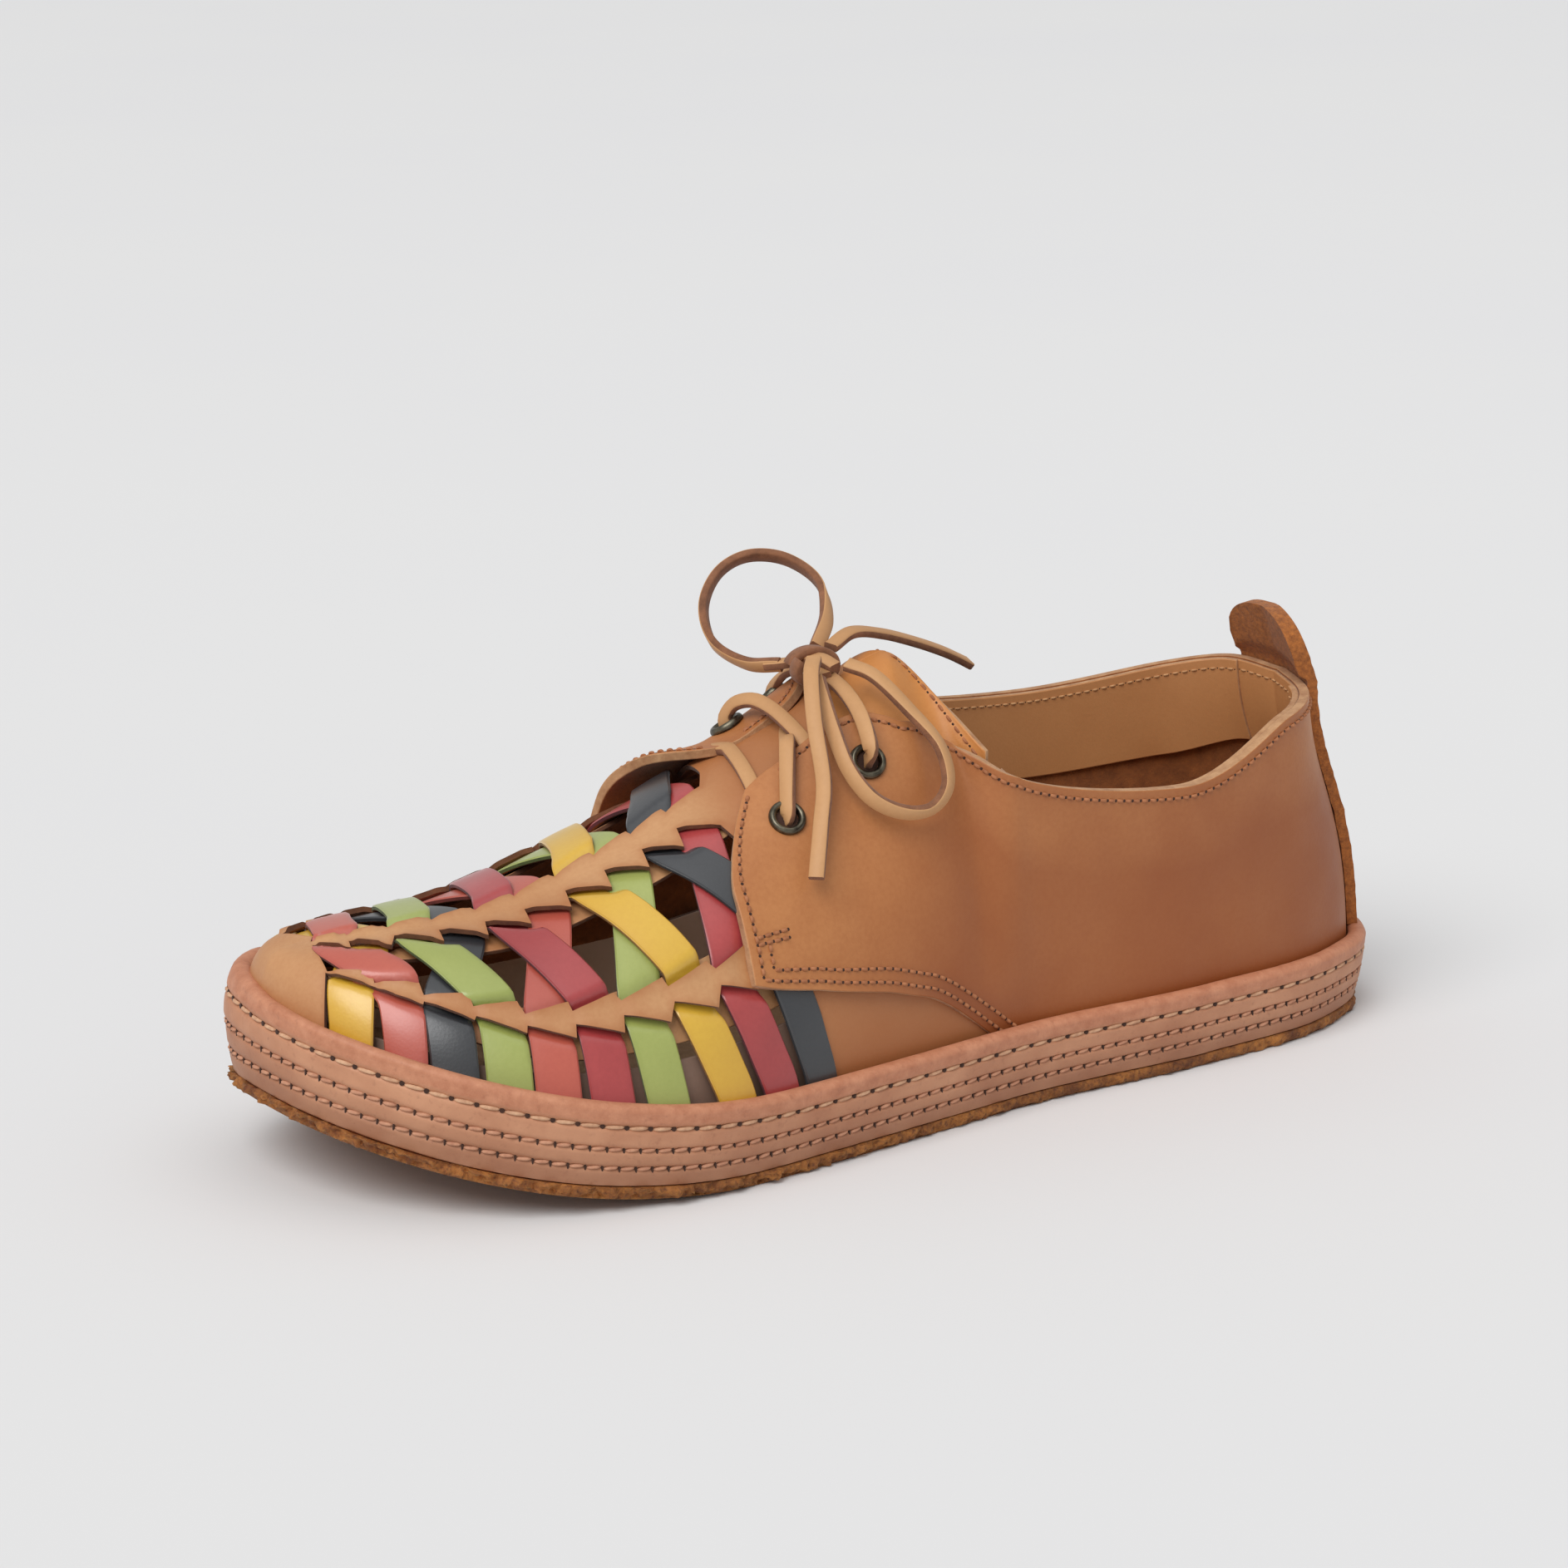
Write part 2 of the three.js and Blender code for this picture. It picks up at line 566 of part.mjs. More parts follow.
// Strip down the heel with the pull tab above the collar
function heelStay() {
  const stripShare = 1 - STAY.tabShare;
  return sheet(10, 6, (p, q, face) => {
    const above = clamp((p - stripShare) / STAY.tabShare);
    const fold = STAY.fold * smooth(STAY.foldStart, STAY.foldEnd, above);
    const offset = UPPER_OUTER + STAY.gap + lerp(-fold, STAY.thickness, face);
    const h = 2 * q - 1;
    const v = lerp(STAY.start, 1, clamp(p / stripShare));
    const point = skin(h * lerp(STAY.low, STAY.high, v), v, offset);
    const height = above * (STAY.tab - STAY.rounding * (1 - Math.sqrt(1 - h * h)));
    return point.add(new THREE.Vector3(height * STAY.lean, 0, height));
  });
}

// Laces. Each route is a hand-laid list of points from the eyelets or the knot to its end.
const KNOT = { centre: [8, -2, 98.6], size: [6.5, 7.5, 4.2] };
const LACE_ROUTES = {
  bar_lateral: [
    [31.8, 25.3, 76.6], [29.9, 22.8, 79.8], [27.8, 19.4, 83.4], [25.4, 15, 86.6], [23, 10.6, 88.3],
    [21.2, 5.6, 89.2], [20, 1, 90.2], [19.6, -2, 91],
  ],
  bar_medial: [
    [24.4, -15.1, 87.4], [22.9, -12.9, 90.4], [20.6, -7, 91.6], [19.6, -1, 90.7], [19.2, 4, 89.8],
    [19, 7, 89.6],
  ],
  riser_lateral: [
    [9.4, 24.2, 85.4], [8, 18, 91], [7, 9.5, 95], [7.6, 2, 97.6],
  ],
  riser_medial: [
    [8.3, -22.9, 89.8], [8, -20.6, 93.6], [7.6, -16.6, 95.8], [7.4, -12, 96.8], [7.6, -6, 97.6],
  ],
  loop_lateral: [
    [4.8, 6.8, 100.4], [1.2, 12.6, 98.4], [-3, 19.8, 92], [-7, 26.5, 84.5], [-6.6, 30.8, 77],
    [-1, 33.2, 72.6], [6.4, 33, 72.6], [13, 30.6, 76], [16.2, 26, 82], [16, 19.5, 89],
    [14.2, 12, 95], [12.2, 6.8, 97.6],
  ],
  loop_medial: [
    [12.5, -8.7, 98.2], [17, -16, 97.6], [20.6, -24.5, 101], [18.6, -32.5, 107.6], [11.4, -38.5, 113.6],
    [2.4, -40.4, 116.4], [-6, -37.2, 115.4], [-9.6, -28.6, 111.2], [-5, -17.6, 105.6], [3.5, -8, 101.3],
  ],
  end_lateral: [
    [12, 4.6, 102], [16.4, 10.6, 99.6], [20.4, 18.6, 91.4], [22.6, 26, 80], [26.4, 31, 71.6],
    [31, 36.6, 62],
  ],
  end_medial: [
    [2.5, -3.7, 102], [-5.4, -7.4, 103.8], [-16.2, -12, 101.4], [-27.8, -16.4, 97.4], [-39.6, -21.6, 92.6],
    [-50, -27, 87.6],
  ],
};
function laceTube(route) {
  const curve = new THREE.CatmullRomCurve3(route.map((p) => new THREE.Vector3(...p)));
  const section = new THREE.Shape();
  for (let i = 0; i < LACE.sides; i++) {
    const angle = (2 * Math.PI * i) / LACE.sides;
    section[i ? "lineTo" : "moveTo"](LACE.radius * Math.cos(angle), LACE.radius * Math.sin(angle));
  }
  const steps = Math.max(4, Math.round(curve.getLength() / LACE.spacing));
  return placed(new THREE.ExtrudeGeometry(section, { steps, extrudePath: curve }), new THREE.Matrix4());
}
function laceKnot() {
  const lump = new THREE.SphereGeometry(1, 8, 6).scale(...KNOT.size).translate(...KNOT.centre);
  return placed(lump, new THREE.Matrix4())
    .add(laceTube(LACE_ROUTES.riser_lateral))
    .add(laceTube(LACE_ROUTES.riser_medial));
}
const laceBars = () => laceTube(LACE_ROUTES.bar_lateral).add(laceTube(LACE_ROUTES.bar_medial));

const COLORS = {
  leather: 0xb98a5f,
  sidewall: 0xb5805f,
  crepe: 0x8a5a2a,
  insole: 0x7a5636,
  lace: 0xcfa36c,
  metal: 0x6a6a5e,
};
function add(group, name, solid, color, roughness = 0.6, metalness = 0) {
  const mesh = solid.getMesh();
  const n = mesh.numProp;
  const position = new Float32Array(mesh.numVert * 3);
  for (let i = 0; i < mesh.numVert; i++)
    position.set(mesh.vertProperties.subarray(i * n, i * n + 3), i * 3);
  const geometry = new THREE.BufferGeometry();
  geometry.setAttribute("position", new THREE.BufferAttribute(position, 3));
  geometry.setIndex(new THREE.BufferAttribute(mesh.triVerts, 1));
  const piece = new THREE.Mesh(geometry, new THREE.MeshStandardMaterial({ color, roughness, metalness }));
  piece.name = name;
  group.add(piece);
}

const shoe = new THREE.Group();
add(shoe, "outsole", outsole(), COLORS.crepe, 0.8);
add(shoe, "sidewall", sidewall(), COLORS.sidewall);
add(shoe, "insole", insole(), COLORS.insole, 0.8);
add(shoe, "upper", upper(), COLORS.leather, 0.5);
add(shoe, "tongue", tongue(), COLORS.leather, 0.6);
add(shoe, "heel_stay", heelStay(), COLORS.leather, 0.6);
for (const { name, matrix } of eyeletFrames) add(shoe, name, eyelet(matrix), COLORS.metal, 0.35, 0.9);
add(shoe, "lace_bars", laceBars(), COLORS.lace);
add(shoe, "lace_knot", laceKnot(), COLORS.lace);
for (const name of ["loop_lateral", "loop_medial", "end_lateral", "end_medial"])
  add(shoe, `lace_${name}`, laceTube(LACE_ROUTES[name]), COLORS.lace);

export default shoe;
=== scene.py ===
"""Looks of a low left leather shoe with a woven forefoot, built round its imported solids.

Lengths in this script are millimetres until a mesh is made. +X is to the toe, +Y to the outer side, +Z up.
"""

import math
from types import SimpleNamespace as Group

import bpy
import numpy as np
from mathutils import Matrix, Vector, geometry, noise


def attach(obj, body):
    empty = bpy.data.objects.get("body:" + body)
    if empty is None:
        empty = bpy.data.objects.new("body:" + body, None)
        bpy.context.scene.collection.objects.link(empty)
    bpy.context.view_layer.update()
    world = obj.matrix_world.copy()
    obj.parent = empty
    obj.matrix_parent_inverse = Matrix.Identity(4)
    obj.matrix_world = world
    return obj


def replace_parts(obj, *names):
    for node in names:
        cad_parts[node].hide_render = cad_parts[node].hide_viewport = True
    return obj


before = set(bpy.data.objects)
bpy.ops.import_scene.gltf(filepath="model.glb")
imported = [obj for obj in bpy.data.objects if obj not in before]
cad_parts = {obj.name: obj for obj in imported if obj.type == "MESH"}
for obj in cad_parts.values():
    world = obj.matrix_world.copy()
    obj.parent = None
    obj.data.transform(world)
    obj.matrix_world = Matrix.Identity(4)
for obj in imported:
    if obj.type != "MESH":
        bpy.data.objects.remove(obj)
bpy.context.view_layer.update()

# Driving dimensions: the part's, and those of the looks that go with them
MM = 0.001
OUTLINE_SHIFT = -2.4
TOE_X = 145.5
SPRING_START = 38
TOE_SPRING = 19.2
TOE_LIFT = 23.5
SPRING_POWER = 2.4
LIFT_POWER = 2
CREPE_HEIGHT = 2.9
SIDEWALL_LOW = 3.2
SIDEWALL_TOP = 20.3
UPPER_OUTER = 3.0
UPPER_FOOT = 8.0
FOOT_INSET = 7.6
TOE_FULL = Group(reach=1.4, heel=9.3, toe=10.8)
# How the sidewall rolls in and up round the toe: turn round the outline, share
TOE_ROLL = np.array([(9.9, 0), (10.6, 0.3), (11.2, 1), (12, 1.8), (13, 3), (13.6, 2.7), (15, 0)])
ROLL = Group(lean=2.2, rise=2.4, low=12, foot=6.8, most=1.2, power=1.5)
ROLL_BULGE = np.array([(3.2, 1.2), (7, 1.25), (12, 1.1), (15.2, 0.8), (18, 0.3), (20.3, 0)])
TIP = 5
QUARTER_INNER = 0.6
QUARTER_THICKNESS = 2.3
LAP = Group(height=1.8, heel=3.85, toe=4.4, low=0.1, high=0.2)
FLAP = Group(corner=0.28, low=0.55, start=0.6)
# The inner side's flap is pulled further over the middle and its front corner stands off
INNER_FLAP = Group(
    shift=0.18, heel=5, toe=5.8, lift=5, lift_start=6, lift_low=0.45, lift_high=0.75,
    flat_low=0.8, flat_high=0.95,
)
STAY = Group(gap=0.35, thick=2.5, start=0.09, low=0.78, high=0.9, wear=0.9)
TAB = Group(height=16, share=0.3, lean=0.4, rounding=10, fold=1.6, fold_start=0.1, fold_end=0.35)
TAB_RAGGED = Group(depth=0.25, scale=1.8, seed=21, edge=8)
TONGUE = Group(inner=-1.5, outer=0.15, heel=4.22, toe=5.75, edge=0.5)
TONGUE_WAVE = Group(depth=0.5, rate=9, start=(0.5, 0.9), end=(1, 0.9))
TONGUE_ROW = Group(heel=0.05, tip=0.02, height=0.945)
EYELET = Group(
    outer=4.2, hole=2.5, barrel=3, rim=1.1, seat=0.25, flange=0.1, depth=3, sides=40,
    arc=12, step=0.02, dark=0.2,
)

# Sections from heel to toe: outline x, lateral, medial; top x, lateral y, medial y, lateral z, medial z;
# fullness at the foot, across the top and down from the top
SECTIONS = np.array([
    [-145.5, 0, 0, -121.5, 0, 0, 82.5, 82.5, 0.65, 0.05, 0.35],
    [-139, 16, -16, -117.5, 13, -13, 81.5, 84, 0.6, 0.1, 0.35],
    [-121, 28, -28.5, -104, 25, -25, 79.5, 81.5, 0.45, 0.1, 0.35],
    [-80, 36.5, -35, -72, 30, -30, 68.3, 78.5, 0.45, 0.1, 0.35],
    [-28, 40, -36.5, -26, 29, -29, 76, 82, 0.45, 0.15, 0.3],
    [2, 45.5, -40.5, -11, -1, -1, 99.5, 99.5, 0.5, 0.45, 0],
    [32, 51, -46, 24, 0, 0, 82, 82, 0.52, 0.52, 0],
    [70, 56, -51.5, 62, 1, 1, 65, 65, 0.55, 0.55, 0],
    [105, 49, -48.5, 95, -1, -1, 54, 54, 0.6, 0.58, 0],
    [130, 32.5, -38, 117, -4, -4, 51.5, 51.5, 0.8, 0.58, 0],
    [142, 15, -24, 128, -6, -6, 49.9, 49.9, 1, 0.6, 0],
    [145.5, -6, -6, 133, -6.5, -6.5, 48.7, 48.7, 1.1, 0.6, 0],
])
COLUMN_NAMES = (
    "x", "lateral", "medial", "top_x", "top_lat", "top_med", "lat_z", "med_z", "side", "crown", "drop",
)
COLUMN = dict(zip(COLUMN_NAMES, SECTIONS.T))
LAST = len(SECTIONS) - 1

# The weave: colour and the stations of each strap at the hem, under the side bands and the middle band
WEAVE = [
    ("yellow", 9.58, 9.55, 9.2),
    ("coral", 8.97, 8.98, 9.75),
    ("charcoal", 8.57, 8.58, 8.2),
    ("green", 8.17, 8.17, 8.62),
    ("coral", 7.84, 7.83, 7.55),
    ("crimson", 7.49, 7.51, 7.85),
    ("green", 7.12, 7.2, 7.0),
    ("yellow", 6.64, 6.87, 7.27),
    ("crimson", 6.32, 6.55, 6.52),
    ("charcoal", 6.02, 6.22, 6.76),
]
# Heights of a strap over the foot, where it ends and turns, and how its leather curls, waves and wears
STRAP = Group(
    width=9.4, thick=1.3, under=0.1, low=0.5, high=2.2, side=1.6, hem=2.3,
    end_w=0.985, turn_w=0.9, hem_w=0.8, ease=2.0, crown=0.16, wave=0.12, wave_scale=9.0,
    rounding=0.3, round_start=0.9, wear=0.5, wear_power=8,
)
STRAP_HALF = np.array([0, 0.25, 0.5, 0.75, 0.93, 0.985, 1])
STRAP_COLUMNS = np.concatenate([-STRAP_HALF[:0:-1], STRAP_HALF])[None, :]
# Edges of the bands that the straps pass under, hem side first, and how far each slit slants across its edge
BANDS = {"lateral": (0.655, 0.575), "middle": (0.207, 0.08), "medial": (-0.4, -0.31)}
SLANT = {
    ("lateral", 0): 0.024, ("lateral", 1): -0.014, ("middle", 0): 0.036,
    ("middle", 1): -0.012, ("medial", 1): 0.014, ("medial", 0): -0.024,
}
EDGES = list(SLANT)
SLIT = Group(room=0.3, lip=0.8, reach=2.3, ramp=3.0, start=-0.4, least=0.027, step=0.006)
# Leather left beyond each edge, and how it is laid
MARGIN = {
    ("lateral", 0): 0.08, ("lateral", 1): -0.03, ("middle", 0): 0.06,
    ("middle", 1): -0.03, ("medial", 1): 0.03, ("medial", 0): -0.4,
}
MARGIN_PIECE = Group(ends=0.05, start=-0.4, ease=3.0, thick=1.1)
CLIMB = Group(rise=0.15, start=7.7, length=1.9, power=1.2, upper=0.8)
HEM_W = 0.93
DOMAIN = np.array([30.0, 72.0])  # rough millimetres per station and per w
VAMP = Group(
    thick=1.15, heel=5.5, panel_heel=4.2, panel_w=0.55, window_room=0.02, under_quarter=2.15,
    quarter_end=(6.4, 6.7), throat_w=(0.5, 0.3), throat=0.3, throat_end=(5.55, 6.1), lip_share=0.45,
)
VAMP_MESH = Group(frame=1.5, window=0.7, fill=1.6, clear=0.55, weld=1e-5, seam=1e-6)
VAMP_WEAR = Group(
    cut=0.7, cut_reach=0.9, toe=0.5, toe_start=(10.2, 11), toe_w=(0.55, 0.95),
    throat=0.9, throat_end=(6.6, 6.2),
)
INNER_WALL = Group(top=0.775, foot=0.985, heel=4.6, toe=10.6, outer=-0.2, inner=-1.2)

# The quarter's lower and upper edge as parts of the section's height, by station
QUARTER_EDGE = np.array([
    [0, 0, 1],
    [3.4, 0, 0.985],
    [3.9, 0, 0.99],
    [4.1, 0.05, 0.993],
    [4.2, 0.071, 0.985],
    [4.3, 0.09, 0.95],
    [4.4, 0.106, 0.885],
    [4.5, 0.12, 0.805],
    [4.6, 0.131, 0.74],
    [4.75, 0.145, 0.682],
    [4.9, 0.157, 0.662],
    [5.05, 0.168, 0.676],
    [5.2, 0.18, 0.718],
    [5.4, 0.2, 0.775],
    [5.65, 0.225, 0.805],
    [6, 0.265, 0.805],
    [6.3, 0.305, 0.775],
    [6.47, 0.335, 0.72],
])
FLAP_FRONT = QUARTER_EDGE[-1, 0]
QUARTER_LENGTH = 225
# How dark the quarter is painted: painted shade from the waist back, painted highlight at the front, painted
# light along the collar, faded tan at the heel
QUARTER_SHADE_AND_FADE = Group(
    base=0.4, waist=0.75, front=(0.94, 0.64), collar=0.3, collar_start=(0.5, 0.9),
    heel=0.8, heel_end=(0.3, 0.05),
)
# Main creases and dents of the quarter: share along, share up, half sizes, depth
CREASES = [
    (0.5, 0.5, 0.12, 0.3, -0.9),
    (0.68, 0.42, 0.035, 0.4, -0.8),
    (0.74, 0.5, 0.05, 0.35, 0.6),
    (0.86, 0.3, 0.04, 0.3, -0.5),
    (0.26, 0.55, 0.07, 0.35, 0.5),
    (0.36, 0.35, 0.05, 0.3, -0.4),
]
CREASE_FADE = Group(low=0.15, high=0.85, front=0.93)
# Stitch rows of the quarter: distances in from its edges and shares along it
ROW = Group(
    collar=2.4, collar_span=(0.012, 0.955), front=2.2, front_span=(0.05, 0.955), arc=(1.9, 4.5),
    arc_start=0.612, second=0.012, second_start=0.1, tack_q=0.22, tack_long=0.034,
    tack_gap=0.035, tacks=2,
)
SIDES = {"lateral": 1, "medial": -1}
EYELETS = {
    ("lateral", "lower"): (6.02, 0.65),
    ("lateral", "upper"): (5.38, 0.64),
    ("medial", "lower"): (5.86, 0.83),
    ("medial", "upper"): (5.38, 0.72),
}
# Collar lining: a heel piece and two side pieces over its ends
LINING_CUT = Group(
    depth=0.32, top=0.004, seam=0.8, front=4.1, row=0.035, lap=0.1, deep=0.9, near=0.75,
    back=0.02, row_heel=0.02, row_side=0.05, row_front=0.1,
)

# Sidewall: lean of its face by height, grooves for the stitch rows, bead and unevenness
WALL_LEAN = np.array([(SIDEWALL_LOW, 2.6), (6.5, 1.7), (10.8, 0.85), (14.8, 0.35), (16.6, 0.1), (18.2, 0)])
GROOVES = (6.8, 10.7, 15.2)
GROOVE = Group(depth=0.8, width=0.55, thread=0.45)
BEAD = Group(foot=18.2, radius=2.2, rise=1.6, arc=14)
WALL_INNER = Group(inset=4.4, free=4.3, heights=(13.0, 8.5, SIDEWALL_LOW))
UNEVEN = Group(long=(0.16, 9.0, 3), short=(0.1, 2.6, 4), most=0.12)
BURNISH = (15.4, 16.6)
SOIL = (13, 4)
THREAD_TILT = 0.12
# Crepe and footbed: half profiles of inset and height, and the torn edge: depth, scale and seed of its noise
CREPE_PROFILE = np.array([
    (30, 0), (18, 0), (9, 0), (5, 0), (3.4, 0), (2.8, 0.2), (2.4, 0.7), (2.2, 1.2), (2.15, 1.8),
    (2.2, 2.4), (2.35, 2.85), (3.4, 2.95), (4.7, 3.0), (4.7, 7.6), (12, 7.6), (30, 7.6),
])
TEAR = Group(
    inset=3.0, heel=0.4, span=(-60, 80), long=(1.6, 3.2, 7), short=(1.5, 1.4, 8),
    lift=(2.2, 1.8, 9),
)
FOOTBED_PROFILE = np.array([
    (30, 8.0), (8.2, 8.0), (8.0, 8.4), (8.0, 10.1), (8.4, 10.5), (14, 10.4), (30, 10.3),
])

# Laces: a flat thong swept along listed points
THONG = Group(width=3.4, thick=1.8, round=0.28, spacing=0.9, steps=24, fewest=8, grain_sides=4)
LOOP_LATERAL = [
    (4.8, 6.8, 100.4), (1.2, 12.6, 98.4), (-3, 19.8, 92), (-7, 26.5, 84.5), (-6.6, 30.8, 77),
    (-1, 33.2, 72.6), (6.4, 33, 72.6), (13, 30.6, 76), (16.2, 26, 82), (16, 19.5, 89), (14.2, 12, 95),
    (12.2, 6.8, 97.6),
]
LOOP_MEDIAL = [
    (12.5, -8.7, 98.2), (17, -16, 97.6), (20.6, -24.5, 101), (18.6, -32.5, 107.6), (11.4, -38.5, 113.6),
    (2.4, -40.4, 116.4), (-6, -37.2, 115.4), (-9.6, -28.6, 111.2), (-5, -17.6, 105.6), (3.5, -8, 101.3),
]
END_LATERAL = [
    (12, 4.6, 102), (16.4, 10.6, 99.6), (20.4, 18.6, 91.4), (22.6, 26, 80), (26.4, 31, 71.6), (31, 36.6, 62),
]
END_MEDIAL = [
    (2.5, -3.7, 102), (-5.4, -7.4, 103.8), (-16.2, -12, 101.4), (-27.8, -16.4, 97.4), (-39.6, -21.6, 92.6),
    (-50, -27, 87.6),
]
BARS = {
    "lateral": [
        (29.4, 22, 76.2), (27.4, 18.6, 80.4), (25.6, 15.6, 83.8), (24.4, 13.6, 85.7), (23.2, 11.6, 86.3),
        (21.4, 8.6, 85.8), (19.4, 5.2, 85.2), (17.6, 2.2, 85.4), (16, -0.6, 86),
    ],
    "medial": [
        (23.2, -14.6, 87), (22, -12.4, 89.8), (20.6, -7, 91.3), (19.6, -1, 90.4), (19, 5, 88.3),
        (18.6, 10, 86), (18.2, 13, 83.6), (18, 15, 81.6),
    ],
}
BAR_UNDER = Group(station=6.13, start=-0.1, end=0.27, height=3, facing=(0.3, 0.1, 1.0), points=12)
RISERS = {
    "lateral": [(9.4, 24.2, 85.4), (8, 18, 91), (7, 9.5, 95), (7.6, 2, 97.6)],
    "medial": [(7.6, -19.2, 91), (7.4, -14, 94.8), (7.6, -6, 97.6)],
}
THROUGH = Group(below=4, above=0.6)  # where a lace starts and leaves along its eyelet's axis
KNOT = Group(
    centre=(8, -2, 98.6), start=0.2, lap=0.6, points=60, spread=1.6, long=5.4, tall=3.6,
    facing=(0.2, 0, 1.0),
)
KNOT_CORES = (
    [(5.5, -8.8, 97.7), (7, -5, 98.8), (8.6, 0, 98.8), (9.4, 4.8, 97.7)],
    [(14.4, -11.8, 97.8), (12, -8, 98.6), (9.6, -3.6, 100), (8, 0.6, 100.8), (6.6, 4.8, 99.5)],
)
# Where the smooth side of a lace looks, at shares of its length
UPWARD = [(0, (0.9, 0.2, 0.4)), (0.25, (0.8, 0.2, 0.6)), (0.6, (0.4, 0.1, 1)), (1, (0.3, 0, 1))]
LOOP_LATERAL_FACING = [
    (0, (0.2, 0.5, 0.9)), (0.3, (-0.5, 0.8, 0.5)), (0.5, (-0.1, 0.6, -0.5)), (0.7, (0.7, 0.7, -0.1)),
    (1, (0.9, 0.5, 0.3)),
]
LOOP_MEDIAL_FACING = [
    (0, (0.8, -0.2, -0.4)), (0.25, (0.8, -0.6, -0.3)), (0.5, (0.1, -0.8, 0.7)), (0.75, (-0.8, -0.2, 0.5)),
    (1, (-0.4, 0.3, 0.8)),
]
END_LATERAL_FACING = [
    (0, (0.3, 0.3, 0.9)), (0.35, (0.6, 0.7, 0.4)), (0.7, (0.75, 0.6, 0.2)), (1, (0.6, 0.7, 0.3)),
]
END_MEDIAL_FACING = [(0, (0, 0.2, 1)), (0.3, (0, 0.3, 1)), (1, (0.2, 0.5, 0.8))]
CORDS = (
    ("lace_loop_outer", "lace_loop_lateral", "object", LOOP_LATERAL, LOOP_LATERAL_FACING),
    ("lace_loop_inner", "lace_loop_medial", "object", LOOP_MEDIAL, LOOP_MEDIAL_FACING),
    ("lace_end_outer", "lace_end_lateral", "bare", END_LATERAL, END_LATERAL_FACING),
    ("lace_end_inner", "lace_end_medial", "bare", END_MEDIAL, END_MEDIAL_FACING),
)

# Camera at the photograph's angle, and the studio
CAMERA = Group(
    azimuth=148.76, elevation=14.37, distance=1000, target=(15.5, -2.4, 72.4), lens=102.6,
    sensor=36, clip=50,
)
FLOOR_REACH = 14.0
KEY = Group(place=(0.75, 0.42, 1.0), strength=1.8, softness=40)
TOP = Group(place=(-0.3, 0.5, 2.6), size=2.4, power=6)
SKY = 0.495

# Colours of the materials, each with its light and dark tone or as its material reads them
COLORS = {
    "tan_leather": ((205, 154, 107), (166, 99, 52)),
    "quarter_leather": ((212, 147, 90), (144, 70, 22)),
    "tongue_leather": ((210, 140, 72), (182, 110, 52)),
    "cut_edge": ((206, 160, 116), (160, 110, 72)),
    "raw_edge": ((124, 78, 50), (88, 52, 34)),
    "inner_facing": ((146, 118, 102), (122, 96, 80)),
    # A brighter copy of the inner facing for its face inside the shoe: painted light
    "inner_facing_painted_light": ((238, 213, 193), (223, 198, 176)),
    "tab_suede": ((192, 116, 52), (128, 72, 32)),
    "flesh_side": ((164, 96, 44), (120, 66, 28)),
    "collar_lining": ((204, 143, 90), (184, 122, 72)),
    "strap_yellow": ((222, 178, 58), (202, 148, 36)),
    "strap_coral": ((197, 97, 78), (172, 70, 57)),
    "strap_charcoal": ((54, 56, 60), (36, 38, 41)),
    "strap_green": ((168, 177, 97), (140, 152, 68)),
    "strap_crimson": ((182, 70, 70), (140, 38, 42)),
    "edge_yellow": ((170, 118, 40), (120, 76, 30)),
    "edge_coral": ((134, 56, 46), (92, 38, 32)),
    "edge_charcoal": ((44, 46, 50), (28, 28, 30)),
    "edge_green": ((104, 116, 56), (70, 76, 40)),
    "edge_crimson": ((112, 40, 48), (76, 28, 34)),
    "insole_leather": ((205, 170, 132), (180, 145, 108)),
    "lace_grain": ((206, 156, 106), (180, 130, 84)),
    "lace_flesh": ((156, 104, 72), (112, 72, 48)),
    "thread_brown": ((188, 124, 82), (148, 90, 56)),
    "thread_lining": ((208, 160, 112), (182, 132, 88)),
    "thread_pale": ((222, 178, 142), (190, 142, 110)),
    "thread_foxing": ((208, 154, 122), (182, 126, 98)),
    # Painted shade of the needle holes and of the eyelets' holes
    "hole_shade": ((74, 44, 30), (50, 30, 22)),
    "eyelet_metal": ((118, 112, 96), (62, 58, 50)),
    "floor": ((230, 230, 230), (229, 229, 230)),
    "foxing": ((205, 148, 113), (178, 119, 87)),
    "foxing_burnt": ((180, 114, 82), (208, 144, 110)),
    "foxing_stains": ((136, 90, 64), (132, 78, 56)),
    "crepe": ((112, 62, 28), (186, 118, 54), (88, 46, 24)),
}
# Patterns of the materials. Patches are two levels and a noise; a noise is scale, detail and roughness;
# a bump is strength and depth.
LEATHER = Group(
    clouds=(0.36, 0.66, 22, 3), cloud_share=0.6, pores=(0.35, 0.7, 900, 2), pore_share=0.16,
    wear_share=0.75, grain=1500, grain_depth=0.12, folds=(170, 5, 0.6), fold_depth=0.35,
    gloss=(120, 3), coat_rough=0.3,
)
SUEDE = Group(
    levels=(0.3, 0.7), detail=(6, 0.7), hair=(1400, 6, 0.75), hair_depth=0.3, lumps=(260, 4),
    lump_bump=(0.5, 0.4), gloss=300, rough=(0.85, 1), sheen=0.12, sheen_rough=0.5,
)
CREPE_LOOK = Group(
    patches=(0.35, 0.68, 160, 6, 0.7), pits=(0.5, 0.75, 900, 4), relief=(420, 8, 0.7), bump=(0.8, 0.8),
    gloss=300, rough=(0.6, 0.85), glow=0.08,
)
FOXING_LOOK = Group(
    patches=(0.35, 0.7, 60, 5), burnt=(0.3, 0.7, 260, 6, 0.7), soil_share=0.45,
    dirt=(0.58, 0.8, 700, 5), dirt_share=0.4, grain=(1100, 5, 0.7), grain_bump=(0.35, 0.2),
    dents=(150, 4), dent_bump=(0.35, 0.5), gloss=200, rough=(0.45, 0.68),
)
METAL_LOOK = Group(
    patches=(0.35, 0.7, 500, 5), relief=(900,), bump=(0.15, 0.1), gloss=350, rough=(0.26, 0.45),
)
